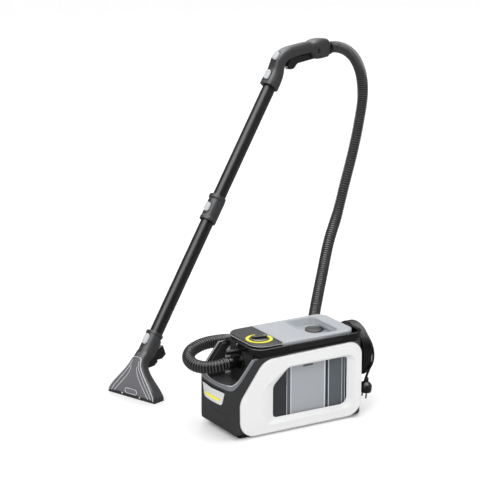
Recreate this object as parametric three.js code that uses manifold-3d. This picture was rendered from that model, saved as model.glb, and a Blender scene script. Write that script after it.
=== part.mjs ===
// Compact spray-extraction carpet cleaner: a machine with a lift-out water tank, a suction hose,
// a two-piece wand with a spray handle and a carpet nozzle, and a mains lead on its rear hook.
// Millimetres, +Z up. The machine's front is -X; its side panels face -Y ("near") and +Y ("far").

import * as THREE from "three";
import { mergeVertices } from "three/addons/utils/BufferGeometryUtils.js";
import Module from "manifold-3d";

const wasm = await Module();
wasm.setup();

// ---- driving dimensions ----

const MACHINE_AT = [-133.98, -303.93]; // the machine's centre on the floor, in the part's frame
const GAP = 0.3; // clearance between separate pieces

const HALF_WIDTH = 101.5; // outside of the side panels
const PANEL_THICK = 15.5;
const PANEL_IN = HALF_WIDTH - PANEL_THICK; // inner face of a side panel
const CORE = PANEL_IN - GAP; // half width of what stands between the panels
const SKIN = 97; // half width of the shells ahead of and behind the panels
const WALL = 4; // shell wall
const FLOOR = 8; // underside of the body above the ground

const FRONT = -233; // foremost point of the front shell
const REAR = 212; // rearmost point of the rear shell
const HEAD_FRONT = -141; // front wall of the head
const HEAD_BACK = -41; // back wall of the head, where the tank bay starts
const MOTOR_AT = [-91, 0];
const BAY_BACK = 160; // end of the tank bay
const DECK = 228; // underside of the top frame
const DECK_TOP = 234.5;
const TOP = 259; // top of the control panel and the lid
const LID_UNDER = 247;
const PANEL_BACK = -57; // joint between control panel and lid
const RIM_HALF = 87.5; // half width of the lid
const TANK_HALF = CORE - 5; // half width of the tanks
const LID_BACK = 183;
const RECESS = { x0: 40, x1: 141, half: 70, floor: 239, floor0: 74 }; // hollow in the lid
const HINGE_X = 86.6; // hinge of the lid's handle
const ARM_Z = 251; // underside of the lid's handle

const SCOOP_FLOOR = 132;
const SCOOP_RIM = 151;
const TRIM_THICK = 3;

const PORT_Z = 194; // height of the hose port's axis
const HOSE_R = 18;
const CUFF_END = -182;
const SPRAY_Z = 226; // height of the spray line's fitting

const BAIL = { z: 243.8, near: 92, far: 99.5, low: 235.2, high: 252.4 }; // carrying handle, folded
const BAIL_FRONT = -153;
const BAIL_REAR = 200;
const GRIP = [-44, 129]; // the matte insert, along X

const KNOB_AT = [-96, -26];
const KNOB_RING = [29, 38]; // inner and outer radius

const COIL = { x0: 214, x1: 250, y: -2, z: 173, inner: 52, outer: 79 };
const CABLE_R = 3.5;

const WAND_AT = [-271, 379]; // centre of the nozzle mouth, from the machine's centre
const WAND_TURN = THREE.MathUtils.degToRad(20);
const STICK_TILT = THREE.MathUtils.degToRad(39.05);
const STICK_FOOT = [86.1, 169]; // top of the nozzle socket, in the wand's plane
const TUBE_R = 17.5;
const TUBE_BORE = 15.5;
const DUCT_R = 6;
const DUCT_X = 25.2; // spray duct's axis, behind the tube's axis
const COUPLING = [374, 456]; // along the stick
const HANDLE_START = 836;
const NOZZLE_HALF = 92;
const JET_X = 30;
const BUTTON_HALF = 8; // half width of a release button
const TRIGGER_PIVOT = [838, 880];
const COLLAR = { x: 885.2, z: 895.2, tilt: Math.PI / 2 - 0.01 }; // hose collar, in the wand's plane

// ---- solids ----

const QUARTER = Math.PI / 2;
const v2 = ([x, y]) => new THREE.Vector2(x, y);

/** A closed outline through corners [x, y, radius], each rounded by an arc of its radius. */
function outline(corners, steps = 3) {
  const points = [];
  corners.forEach((corner, i) => {
    const at = v2(corner);
    const radius = corner[2] ?? 0;
    if (radius === 0) {
      points.push(at);
      return;
    }
    const back = v2(corners.at(i - 1)).sub(at).normalize();
    const on = v2(corners[(i + 1) % corners.length]).sub(at).normalize();
    const half = Math.acos(THREE.MathUtils.clamp(back.dot(on), -1, 1)) / 2;
    const start = at.clone().addScaledVector(back, radius / Math.tan(half));
    const end = at.clone().addScaledVector(on, radius / Math.tan(half));
    const bisector = back.clone().add(on).normalize();
    const centre = at.clone().addScaledVector(bisector, radius / Math.sin(half));
    const from = start.sub(centre).angle();
    let sweep = end.sub(centre).angle() - from;
    if (sweep > Math.PI) sweep -= 2 * Math.PI;
    if (sweep < -Math.PI) sweep += 2 * Math.PI;
    for (let k = 0; k <= steps; k++) {
      const angle = from + (sweep * k) / steps;
      points.push(v2([Math.cos(angle), Math.sin(angle)]).multiplyScalar(radius).add(centre));
    }
  });
  return points;
}

const rectangle = (x0, y0, x1, y1, r = 0) => [[x0, y0, r], [x1, y0, r], [x1, y1, r], [x0, y1, r]];

function extrude(points, depth, bevel = 0) {
  const geometry = new THREE.ExtrudeGeometry(new THREE.Shape(points), {
    depth: depth - 2 * bevel,
    bevelEnabled: bevel > 0,
    bevelThickness: bevel,
    bevelSize: bevel,
    bevelOffset: -bevel,
    bevelSegments: 1,
  });
  return geometry.translate(0, 0, bevel);
}

/** Slabs of an outline drawn in XY, in XZ and in YZ. */
const slabZ = (corners, z0, z1, bevel) => extrude(outline(corners), z1 - z0, bevel).translate(0, 0, z0);
function slabY(corners, y0, y1, bevel) {
  const turn = new THREE.Matrix4().makeBasis(
    new THREE.Vector3(1, 0, 0), new THREE.Vector3(0, 0, 1), new THREE.Vector3(0, -1, 0));
  return extrude(outline(corners), y1 - y0, bevel).applyMatrix4(turn).translate(0, y1, 0);
}
function slabX(corners, x0, x1, bevel) {
  const turn = new THREE.Matrix4().makeBasis(
    new THREE.Vector3(0, 1, 0), new THREE.Vector3(0, 0, 1), new THREE.Vector3(1, 0, 0));
  return extrude(outline(corners), x1 - x0, bevel).applyMatrix4(turn).translate(x0, 0, 0);
}

function box(x0, x1, y0, y1, z0, z1) {
  const geometry = new THREE.BoxGeometry(x1 - x0, y1 - y0, z1 - z0);
  return geometry.translate((x0 + x1) / 2, (y0 + y1) / 2, (z0 + z1) / 2);
}

/** A solid of revolution about Z, from [radius, height] pairs that start and end on the axis or close. */
function turned(profile, sides = 20) {
  return new THREE.LatheGeometry(profile.map(v2), sides).rotateX(Math.PI / 2);
}
const pipe = (inner, outer, z0, z1, sides) =>
  turned([[inner, z0], [outer, z0], [outer, z1], [inner, z1], [inner, z0]], sides);
const rod = (radius, z0, z1, sides) => turned([[0, z0], [radius, z0], [radius, z1], [0, z1]], sides);

/** A closed skin through rings of points, each ring convex and with as many points as the next. */
function loft(rings) {
  const count = rings[0].length;
  const positions = rings.flat().flatMap((p) => [p.x, p.y, p.z]);
  const index = [];
  for (let r = 0; r + 1 < rings.length; r++) {
    for (let k = 0; k < count; k++) {
      const a = r * count + k;
      const b = r * count + ((k + 1) % count);
      index.push(a, b, b + count, a, b + count, a + count);
    }
  }
  for (const [ring, flip] of [[0, true], [rings.length - 1, false]]) {
    for (let k = 1; k + 1 < count; k++) {
      const fan = [ring * count, ring * count + k, ring * count + k + 1];
      index.push(...(flip ? fan.reverse() : fan));
    }
  }
  const geometry = new THREE.BufferGeometry();
  geometry.setAttribute("position", new THREE.Float32BufferAttribute(positions, 3));
  return geometry.setIndex(index);
}

/** A tube of a round section along a curve. */
function along(curve, radius, steps, sides) {
  const section = new THREE.Shape(
    Array.from({ length: sides }, (_, k) => {
      const angle = (2 * Math.PI * k) / sides;
      return v2([radius * Math.cos(angle), radius * Math.sin(angle)]);
    }));
  return new THREE.ExtrudeGeometry(section, { steps, extrudePath: curve, bevelEnabled: false });
}

function solid(shape) {
  if (!(shape instanceof THREE.BufferGeometry)) return shape;
  const bare = shape.clone();
  bare.deleteAttribute("normal");
  bare.deleteAttribute("uv");
  const merged = mergeVertices(bare, 1e-4);
  const mesh = new wasm.Mesh({
    numProp: 3,
    vertProperties: new Float32Array(merged.attributes.position.array),
    triVerts: new Uint32Array(merged.index.array),
  });
  return new wasm.Manifold(mesh);
}
const join = (...shapes) => shapes.map(solid).reduce((a, b) => a.add(b));
const cut = (shape, ...tools) => tools.map(solid).reduce((a, b) => a.subtract(b), solid(shape));
const common = (...shapes) => shapes.map(solid).reduce((a, b) => a.intersect(b));

function geometryOf(shape) {
  if (shape instanceof THREE.BufferGeometry) return shape;
  const mesh = shape.getMesh();
  const geometry = new THREE.BufferGeometry();
  geometry.setAttribute("position", new THREE.Float32BufferAttribute(mesh.vertProperties, 3));
  geometry.setIndex(new THREE.Uint32BufferAttribute(mesh.triVerts, 1));
  geometry.computeVertexNormals();
  return geometry;
}

const part = new THREE.Group();
const machine = new THREE.Group();
machine.position.set(...MACHINE_AT, 0);
part.add(machine);

function piece(name, shape, [color, roughness, metalness = 0], parent = machine) {
  const material = new THREE.MeshStandardMaterial({ color, roughness, metalness });
  const mesh = new THREE.Mesh(geometryOf(shape), material);
  mesh.name = name;
  parent.add(mesh);
  return mesh;
}

// ---- finishes: colour, roughness, metalness ----

const WHITE = ["#f1f1f0", 0.4];
const ANTHRACITE = ["#2b2c2e", 0.55];
const GLOSS = ["#0d0d0e", 0.15];
const LID_GREY = ["#aeb3b9", 0.4];
const SILVER = ["#8f9296", 0.35, 0.4];
const YELLOW = ["#f2e600", 0.4];
const CLEAR_TANK = ["#9aa3ad", 0.12];
const DARK_TANK = ["#525b64", 0.12];
const BUTTON = ["#8e9194", 0.5];
const BLACK = ["#161617", 0.6];
const RUBBER = ["#1b1b1c", 0.85];
const METAL = ["#c4c6c8", 0.3, 1];
const SMOKE = ["#3a3f42", 0.1];

// ---- body shells ----

/** The panel's outline in XZ, grown by a margin. */
const panelOutline = (grow = 0) => [
  [-122, 222 + grow, 58], [-199 - grow, 114, 58], [-198 - grow, 7 - grow, 46],
  [198 + grow, 8 - grow, 46], [198 + grow, 228 + grow, 42],
];
const panelSpace = () => slabY(panelOutline(GAP), -HALF_WIDTH - 10, -PANEL_IN + GAP);

/** Mirrors a solid across the machine's centre plane. */
const mirrored = (shape) => solid(shape).mirror([0, 1, 0]);

function sidePanel() {
  const window = [[-88, 45, 12], [155, 44, 22], [155, 184, 10], [-38, 184, 26], [-88, 138, 26]];
  const bevel = [[-123, 33, 16], [176, 35, 28], [176, 193, 28], [-44, 193, 30], [-124, 141, 30]];
  const ring = (corners, y) => outline(corners).map((p) => new THREE.Vector3(p.x, y, p.y));
  const opening = loft([
    ring(window, -PANEL_IN + 2), ring(window, -PANEL_IN - 1.5), ring(bevel, -HALF_WIDTH + 0.5),
    ring(bevel, -HALF_WIDTH - 1),
  ]);
  return cut(slabY(panelOutline(), -HALF_WIDTH, -PANEL_IN, 4), opening);
}

/** The front shell's outline in XY, moved inwards by a margin. */
const frontPlan = (inset = 0, back = HEAD_BACK - 4) => [
  [back, -SKIN + inset], [FRONT + 11 + inset, -SKIN + inset, 35 - inset],
  [FRONT + inset, 0, 300], [FRONT + 11 + inset, SKIN - inset, 35 - inset], [back, SKIN - inset],
];
/** The front shell's outline in XZ, its upper edge lowered by a drop. */
const frontProfile = (drop = 0, back = HEAD_BACK - 4, grow = 0) => [
  [back, FLOOR - grow], [FRONT + 21, FLOOR - grow, 9], [FRONT - 1 - grow, 76, 70],
  [FRONT - 1 - grow, SCOOP_RIM - drop], [FRONT + 15 + drop * 0.4, SCOOP_RIM - drop, 14],
  [-157 + drop * 0.7, DECK - GAP, 6], [back, DECK - GAP],
];

function trimBand(slack) {
  const ring = cut(
    slabZ(frontPlan(-1, HEAD_FRONT - 2), SCOOP_RIM - 40, DECK),
    slabZ(frontPlan(TRIM_THICK + slack, HEAD_FRONT + 20), 0, 300));
  const band = slabY(frontProfile(0, HEAD_FRONT - 2, 5), -120, 120);
  const under = slabY([
    [0, FLOOR - 20], [FRONT - 20, FLOOR - 20], [FRONT - 20, SCOOP_RIM - 15 - slack],
    [FRONT + 23, SCOOP_RIM - 15 - slack, 16], [-139, DECK - 2 - slack], [0, DECK - 2 - slack],
  ], -121, 121);
  return cut(common(ring, band), under);
}

function frontShell() {
  const block = common(
    slabZ(frontPlan(), FLOOR, DECK - GAP), slabY(frontProfile(), -SKIN - 1, SKIN + 1));
  const pocket = slabZ([
    [-60, -SKIN + 13], [FRONT + 30, -SKIN + 13, 24], [FRONT + 14, 0, 200], [FRONT + 30, SKIN - 13, 24],
    [-60, SKIN - 13],
  ], SCOOP_FLOOR, 300);
  const cavity = slabZ(frontPlan(WALL + 9, 0), FLOOR + 14, SCOOP_FLOOR - WALL);
  const behind = box(HEAD_FRONT - 2 * GAP, 0, -CORE, CORE, 0, 300);
  return cut(
    block, pocket, cavity, behind, panelSpace(), mirrored(panelSpace()), trimBand(GAP));
}

function badge(y, z0, z1, radius, inset0, inset1) {
  const skin = cut(
    slabZ(frontPlan(inset0, 0), z0 - 1, z1 + 1), slabZ(frontPlan(inset1, 10), z0 - 2, z1 + 2));
  const corners = [[-y + radius, z0, radius], [y - radius, z0, radius], [y, z1, 1.5], [-y, z1, 1.5]];
  return common(skin, slabX(corners, FRONT - 5, FRONT + 40));
}

function rearShell() {
  const plan = (inset) => [
    [BAY_BACK, -SKIN + inset], [REAR - 7 - inset, -SKIN + inset, 30 - inset],
    [REAR - inset, 0, 300], [REAR - 7 - inset, SKIN - inset, 30 - inset], [BAY_BACK, SKIN - inset],
  ];
  const block = slabZ(plan(0), FLOOR, DECK - GAP, 2);
  const cavity = slabZ([...plan(13)].map(([x, y, r]) => [x === BAY_BACK ? 0 : x, y, r]), 22, 214);
  return cut(block, cavity, panelSpace(), mirrored(panelSpace()));
}

piece("side_panel_near", sidePanel(), WHITE);
piece("side_panel_far", mirrored(sidePanel()), WHITE);
piece("front_shell", frontShell(), ANTHRACITE);
piece("scoop_trim", common(trimBand(0), slabZ(frontPlan(), 0, 300)), SILVER);
piece("badge_plate", badge(60, 94, 133, 12, -1.6, -GAP), SILVER);
piece("badge_bar", badge(39, 104.5, 111.5, 0.8, -2.8, -1.9), YELLOW);
piece("rear_shell", rearShell(), ANTHRACITE);

piece("base_pan", cut(
  slabZ(rectangle(HEAD_FRONT, -CORE, BAY_BACK - GAP, CORE), FLOOR, 30),
  box(HEAD_FRONT + WALL, BAY_BACK - WALL - GAP, -CORE + WALL, CORE - WALL, FLOOR + WALL, 40),
), BLACK);

for (const [end, x] of [["front", -172], ["rear", 128]]) {
  for (const [side, y] of [["near", -70], ["far", 70]]) {
    const sole = rectangle(x - 20, y - 11, x + 20, y + 11, 10);
    piece(`foot_${end}_${side}`, slabZ(sole, 0, FLOOR - GAP), RUBBER);
  }
}

// ---- head: motor, fan and pump under the control panel ----

function headHousing() {
  const low = slabZ(rectangle(HEAD_FRONT, -CORE + 2, HEAD_BACK, CORE - 2), 30 + GAP, SCOOP_FLOOR + 2);
  const high = slabZ([
    [HEAD_FRONT, -RIM_HALF + 4, 38], [HEAD_FRONT, RIM_HALF - 4, 38], [HEAD_BACK, RIM_HALF - 4],
    [HEAD_BACK, -RIM_HALF + 4],
  ], SCOOP_FLOOR, LID_UNDER - GAP);
  const step = box(PANEL_BACK, 0, -120, 120, DECK_TOP, 300);
  const hollow = box(HEAD_FRONT + WALL, HEAD_BACK - WALL, -66, 66, 0, DECK_TOP - WALL);
  return cut(join(low, high), step, hollow);
}
piece("head_housing", headHousing(), ANTHRACITE);

piece("control_panel", slabZ([
  [HEAD_FRONT, -RIM_HALF + 1.5, 40], [HEAD_FRONT, RIM_HALF - 1.5, 40],
  [PANEL_BACK - GAP, RIM_HALF - 1.5], [PANEL_BACK - GAP, -RIM_HALF + 1.5],
], LID_UNDER, TOP, 1.5), GLOSS);

/** The yellow mark round the switch: a ring open towards the rear. */
function dialMark() {
  const [inner, outer] = KNOB_RING;
  const from = THREE.MathUtils.degToRad(79);
  const to = THREE.MathUtils.degToRad(382);
  const shape = new THREE.Shape();
  shape.absarc(0, 0, outer, from, to, false);
  shape.absarc(0, 0, inner, to, from, true);
  const geometry = new THREE.ExtrudeGeometry(shape, { depth: 1, bevelEnabled: false, curveSegments: 24 });
  return geometry.translate(...KNOB_AT, TOP + GAP);
}
piece("dial_mark", dialMark(), YELLOW);

const knob = join(
  turned([[0, 0], [26, 0], [26, 2], [24, 4], [0, 4]]),
  slabZ([[-24, -9, 7], [24, -9, 7], [24, 9, 7], [-24, 9, 7]], 3, 15, 1.5));
piece("switch_knob", knob.translate([...KNOB_AT, TOP + 2 * GAP]), BLACK);

const lathed = (profile, [x, y], z = 0) => turned(profile).translate(x, y, z);
piece("suction_motor", lathed(
  [[0, 64], [40, 64], [44, 68], [44, 138], [38, 144], [0, 144]], MOTOR_AT), METAL);
piece("fan_impeller", lathed([[0, 150], [34, 150], [29, 158], [12, 164], [0, 164]], MOTOR_AT), METAL);
piece("fan_cover", lathed(
  [[38, 146], [44, 146], [44, 176], [14, 182], [14, 179], [38, 172], [38, 146]], MOTOR_AT), BLACK);
piece("spray_pump", join(
  box(-205, -165, -32, 30, 28, 66), box(-198, -172, -60, -31, 34, 60)), BLACK);

// ---- top frame and carrying handle ----

function topFrame() {
  const plate = slabZ([
    [HEAD_FRONT + 4, -SKIN, 12], [BAIL_REAR - 4, -SKIN, 34], [BAIL_REAR - 4, SKIN, 34],
    [HEAD_FRONT + 4, SKIN, 12],
  ], DECK, DECK_TOP);
  const collar = slabZ([
    [PANEL_BACK - 6, -RIM_HALF + 0.5], [LID_BACK, -RIM_HALF + 0.5, 26], [LID_BACK, RIM_HALF - 0.5, 26],
    [PANEL_BACK - 6, RIM_HALF - 0.5],
  ], DECK, LID_UNDER - GAP);
  const bay = slabZ(rectangle(HEAD_BACK - 3, -82, BAY_BACK, 82, 8), 0, 300);
  const head = slabZ([
    [HEAD_FRONT - GAP, -RIM_HALF + 3, 38], [HEAD_FRONT - GAP, RIM_HALF - 3, 38],
    [HEAD_BACK + GAP, RIM_HALF - 3], [HEAD_BACK + GAP, -RIM_HALF + 3],
  ], 0, 300);
  const pinBlock = box(LID_BACK + 1, BAIL_REAR - 2, -9, 9, DECK_TOP - 1, 251);
  return cut(join(plate, collar, pinBlock), bay, head);
}
piece("top_frame", topFrame(), GLOSS);

/** The bail's outline in XY: an open frame round the near half of the machine. */
function bail() {
  const outer = slabZ([
    [BAIL_FRONT, -BAIL.far, 36], [BAIL_REAR + 9, -BAIL.far, 34], [BAIL_REAR + 9, 14], [BAIL_FRONT, 14],
  ], BAIL.low, BAIL.high, 1.5);
  const inner = slabZ([
    [BAIL_FRONT + 8, -BAIL.near, 34], [BAIL_REAR, -BAIL.near, 30], [BAIL_REAR, 60], [BAIL_FRONT + 8, 60],
  ], 0, 300);
  const end = (BAIL.high - BAIL.low) / 2;
  const roundEnds = common(
    slabX([[-BAIL.far - 5, BAIL.z - end], [end, BAIL.z - end, end - 0.1], [end, BAIL.z + end, end - 0.1],
      [-BAIL.far - 5, BAIL.z + end]], BAIL_FRONT - 5, BAIL_REAR + 15),
    cut(outer, inner));
  const pinHole = rod(4 + GAP, -600, 600, 16).rotateY(Math.PI / 2).translate(0, 0, BAIL.z);
  const seat = box(GRIP[0] - GAP, GRIP[1] + GAP, -BAIL.far - 5, -BAIL.near - 3.5, 0, 300);
  return cut(roundEnds, pinHole, seat);
}
piece("carrying_handle", bail(), GLOSS);
piece("handle_grip", slabX(
  [[-BAIL.far, BAIL.low + 0.2, 1], [-BAIL.near - 3.8, BAIL.low + 0.2], [-BAIL.near - 3.8, BAIL.high - 0.2],
    [-BAIL.far, BAIL.high - 0.2, 1]], ...GRIP), RUBBER);
const pin = (x0, x1) => rod(4, x0, x1, 16).rotateY(Math.PI / 2).translate(0, 0, BAIL.z);
piece("handle_pin_front", pin(BAIL_FRONT - 1, HEAD_FRONT - GAP), METAL);
piece("handle_pin_rear", pin(BAIL_REAR - 2 + GAP, BAIL_REAR + 11), METAL);

// ---- water tank ----

function tank(x0, x1) {
  const body = slabZ(rectangle(x0, -TANK_HALF, x1, TANK_HALF, 7), 32, 232);
  const inside = slabZ(rectangle(x0 + 2.5, -TANK_HALF + 2.5, x1 - 2.5, TANK_HALF - 2.5, 5), 35, 240);
  return cut(body, inside);
}
piece("fresh_water_tank", tank(HEAD_BACK + 2, 92), CLEAR_TANK);
piece("waste_water_tank", tank(96, BAY_BACK - 3), DARK_TANK);

const lidOutline = (inset = 0) => [
  [PANEL_BACK, -RIM_HALF + inset], [LID_BACK - inset, -RIM_HALF + inset, 30],
  [LID_BACK - inset, RIM_HALF - inset, 30], [PANEL_BACK, RIM_HALF - inset],
];
/** The tapering space of the lid's recess, its front wall sloping down towards the rear. */
function recessSpace() {
  const ring = (x0, half, z) => outline(rectangle(x0, -half, RECESS.x1, half, 16))
    .map((p) => new THREE.Vector3(p.x, p.y, z));
  return loft([ring(RECESS.floor0, RECESS.half - 6, RECESS.floor), ring(RECESS.x0, RECESS.half, TOP + 1)]);
}
function tankLid() {
  const plate = slabZ(lidOutline(), LID_UNDER, TOP, 1.5);
  const rim = cut(
    box(HINGE_X - 4 - GAP, LID_BACK + 5, -RIM_HALF - 5, RIM_HALF + 5, ARM_Z - GAP, TOP + 5),
    slabZ(rectangle(0, -RECESS.half - 3, RECESS.x1 + 3, RECESS.half + 3, 16), 0, 300));
  return cut(plate, recessSpace(), rim);
}
/** The lower half of the lid, which closes the tanks from above. */
function lidBasin() {
  const outer = rectangle(HEAD_BACK + 4, 3 - TANK_HALF, BAY_BACK - 5, TANK_HALF - 3, 5);
  const underside = box(HEAD_BACK + 8, RECESS.x0 - 5, 7 - TANK_HALF, TANK_HALF - 7, 230, LID_UNDER - 1);
  return cut(slabZ(outer, 232 + GAP, LID_UNDER - GAP), recessSpace(), underside);
}
function rimHandle() {
  const plate = common(
    slabZ(lidOutline(), ARM_Z, TOP, 1.5),
    slabY(
      [[HINGE_X - 4, ARM_Z, 3.9], [LID_BACK, ARM_Z], [LID_BACK, TOP], [HINGE_X - 4, TOP, 3.9]], -100, 100));
  return cut(plate, slabZ(
    rectangle(0, -RECESS.half - 3 - GAP, RECESS.x1 + 3 + GAP, RECESS.half + 3 + GAP, 16), 0, 300));
}
piece("tank_lid", tankLid(), LID_GREY);
piece("tank_handle", rimHandle(), LID_GREY);
piece("float_cover", turned([[0, 0], [26.5, 0], [26.5, 5], [22, 7], [0, 7]])
  .translate(112, 18, RECESS.floor + GAP), BLACK);
piece("lid_basin", lidBasin(), LID_GREY);
const ball = new THREE.SphereGeometry(14, 16, 10).rotateX(QUARTER);
piece("float_ball", ball.translate(127, -30, 120), WHITE);
piece("float_cage", cut(
  pipe(17, 19, 90, 228, 20), box(-30, 30, -5, 5, 96, 200)).translate([127, -30, 0]), BLACK);

// ---- hose port ----

const alongX = (geometry) => geometry.rotateY(-Math.PI / 2); // +Z turned to -X
piece("hose_port", alongX(pipe(16, 23, 0, 6, 28)).translate(HEAD_FRONT - GAP, 0, PORT_Z), GLOSS);
piece("hose_cuff", alongX(turned([
  [12, 0], [15.4, 0], [15.4, 26], [19, 29], [19, 40], [12, 40], [12, 0],
])).translate(CUFF_END + 40, 0, PORT_Z), GLOSS);
piece("spray_fitting", join(
  alongX(pipe(3, 8, 0, 8, 20)).translate(HEAD_FRONT - GAP, 0, SPRAY_Z),
  alongX(pipe(3, 7, 7, 46, 16)).translate(HEAD_FRONT - GAP, 0, SPRAY_Z)), BLACK);

// ---- rear: hook, mains lead and plug ----

function cableHook() {
  const reach = COIL.inner - 2 * GAP;
  const saddle = [56, 70, 90, 110, 124].map((degrees) => {
    const angle = THREE.MathUtils.degToRad(degrees);
    return [COIL.y + reach * Math.cos(angle), COIL.z + reach * Math.sin(angle)];
  });
  const [low, left, right] = [COIL.z + 30, COIL.y - 29, COIL.y + 29];
  const arm = slabX([[left, low, 6], [right, low, 6], ...saddle], REAR + GAP, COIL.x1 + 3);
  const lip = slabX(rectangle(left, low, right, COIL.z + COIL.inner + 8, 8), COIL.x1 + 2, COIL.x1 + 6);
  return join(arm, lip);
}
piece("cable_hook", cableHook(), ANTHRACITE);
const GLAND = [REAR - 2, 45, 60];
piece("cable_gland", alongX(turned([[0, 0], [9, 0], [9, 4], [5.5, 30], [0, 30]]).rotateX(Math.PI))
  .translate(GLAND[0] + 1, GLAND[1], GLAND[2]), RUBBER);

const leadRoute = [
  [REAR + 29.6, 45, 60], [REAR + 36, 45.4, 60.2], [REAR + 46, 50, 64], [REAR + 50, 58, 76],
  [REAR + 46, 64, 90], [REAR + 38, 65, 100], [REAR + 28, 61, 108], [REAR + 22, 54.8, 114.7],
].map((p) => new THREE.Vector3(...p));
piece("mains_lead", along(new THREE.CatmullRomCurve3(leadRoute), CABLE_R, 14, 8), BLACK);
piece("mains_coil", alongX(pipe(COIL.inner, COIL.outer, 0, COIL.x1 - COIL.x0, 40))
  .translate(COIL.x1, COIL.y, COIL.z), BLACK);

const plug = new THREE.Group();
plug.position.set(236, -66, 92);
plug.rotation.set(THREE.MathUtils.degToRad(6), THREE.MathUtils.degToRad(4), 0);
machine.add(plug);
piece("mains_plug", turned([
  [0, -34], [17.5, -34], [18.5, -31], [18.5, -16], [15, -10], [7, -4], [5.5, 8], [0, 8],
], 20), BLACK, plug);
const plugPin = (y) => rod(2.4, -53, -35, 12).translate(0, y, 0);
piece("plug_tail", along(new THREE.CatmullRomCurve3([
  new THREE.Vector3(235.6, -65.3, 100.9), new THREE.Vector3(235, -64.6, 110),
  new THREE.Vector3(234, -62.6, 118),
]), CABLE_R, 4, 8), BLACK);
piece("plug_pins", join(plugPin(-9.5), plugPin(9.5), box(-3, 3, -12.5, 12.5, -35.5, -34 - GAP)), METAL, plug);

// ---- wand ----

const wand = new THREE.Group();
wand.position.set(...WAND_AT, 0);
wand.rotation.z = WAND_TURN;
machine.add(wand);
const stick = new THREE.Group();
stick.position.set(STICK_FOOT[0], 0, STICK_FOOT[1]);
stick.rotation.y = STICK_TILT;
wand.add(stick);

/** A rounded rectangle across a line, as a ring of points: half depth along x, half width along y. */
function ringAt([x, z], tilt, depth, width, radius) {
  const turn = new THREE.Matrix4().makeRotationY(tilt).setPosition(x, 0, z);
  return outline(rectangle(-depth, -width, depth, width, radius), 3)
    .map((p) => new THREE.Vector3(p.x, p.y, 0).applyMatrix4(turn));
}

const nozzleRings = (inset) => [
  ringAt([0, -inset * 2], 0, 22 - inset, NOZZLE_HALF - inset, 5),
  ringAt([0, 12], 0, 22 - inset, NOZZLE_HALF - 1 - inset, 6),
  ringAt([2, 34], 0.1, 21 - inset, 76 - inset, 8),
  ringAt([6, 58], 0.2, 20 - inset, 52 - inset, 10),
  ringAt([12, 84], 0.35, 20 - inset, 31 - inset, 12),
  ringAt([22, 101], 0.5, 20.5 - inset, 23 - inset, 14),
  ringAt([44, 118], STICK_TILT, 22 - inset, 23 - inset, 15),
];
const socketAxis = (geometry) => geometry.rotateY(STICK_TILT).translate(STICK_FOOT[0], 0, STICK_FOOT[1]);
function nozzleBody() {
  const boss = box(16, JET_X - GAP, -12, 12, 32, 56);
  const shell = join(loft(nozzleRings(0)), socketAxis(rod(24.5, -72, 0, 28)), boss);
  const mouth = loft(nozzleRings(4));
  const bore = socketAxis(rod(TUBE_R + GAP, -44, 5, 28));
  const throat = socketAxis(rod(TUBE_BORE, -80, 5, 24));
  const windowSpace = windowPlate(GAP, 8);
  const pocket = socketAxis(buttonPocket(-36.4, -9.6));
  const duct = socketAxis(rod(DUCT_R + GAP, -30, 5, 16).translate(DUCT_X, 0, 0));
  return cut(shell, mouth, bore, throat, windowSpace, pocket, duct);
}
/** The clear front of the nozzle: a fan-shaped plate let into the front wall. */
function windowPlate(slack, depth) {
  const half = NOZZLE_HALF - 12 + slack;
  const plate = slabX([
    [-half, 10 - slack, 6], [half, 10 - slack, 6], [half, 20 + slack, 4], [26 + slack, 80 + slack, 10],
    [-26 - slack, 80 + slack, 10], [-half, 20 + slack, 4],
  ], -40, -40 + depth);
  return plate.rotateY(0.06).translate(18.2 - depth / 2 + 1.5, 0, 0);
}
const releaseButton = (z0, z1) => slabZ(
  rectangle(-29, -BUTTON_HALF, -TUBE_R - GAP - 3.6, BUTTON_HALF, 1.5), z0, z1, 0.8);
const buttonPocket = (z0, z1) => box(-40, -TUBE_R - GAP - 0.5, -BUTTON_HALF - 0.4, BUTTON_HALF + 0.4, z0, z1);

piece("nozzle_body", nozzleBody(), ANTHRACITE, wand);
piece("nozzle_window", windowPlate(0, 3), SMOKE, wand);
piece("nozzle_button", socketAxis(releaseButton(-36, -10)), BUTTON, wand);
piece("spray_jet", join(
  box(JET_X, JET_X + 8, -9, 9, 34, 50), rod(3.5, 26, 35, 14).translate(JET_X + 4, 0, 0)), BLACK, wand);

const tubeWall = (z0, z1) => pipe(TUBE_BORE, TUBE_R, z0, z1, 28);
piece("lower_tube", tubeWall(-43, 412), BLACK, stick);
piece("upper_tube", tubeWall(412 + GAP, HANDLE_START + 40), BLACK, stick);

function tubeCoupling() {
  const [z0, z1] = COUPLING;
  const sleeve = turned([
    [TUBE_R + GAP, z0], [24.5, z0], [24.5, z0 + 8], [23, z0 + 11], [23, z1 - 14], [26, z1 - 10], [26, z1],
    [TUBE_R + GAP, z1], [TUBE_R + GAP, z0],
  ]);
  const back = box(15, 33, -10, 10, z0 + 2, z1 - 2);
  const bore = rod(TUBE_R + GAP, z0 - 5, z1 + 5, 28);
  const pocket = buttonPocket(395.6, 424.4);
  const duct = rod(DUCT_R + GAP, z0 - 5, z1 + 5, 16).translate(DUCT_X, 0, 0);
  return cut(join(sleeve, back), bore, pocket, duct);
}
piece("tube_coupling", tubeCoupling(), ANTHRACITE, stick);
piece("coupling_button", releaseButton(396, 424), BUTTON, stick);
const duct = (z0, z1) => rod(DUCT_R, z0, z1, 12).translate(DUCT_X, 0, 0);
piece("spray_duct_lower", duct(-28, 414), BLACK, stick);
piece("spray_duct_upper", duct(414 + GAP, HANDLE_START + 12), BLACK, stick);

// ---- handle: socket on the stick, a bend, a level grip and the hose collar ----

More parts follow.
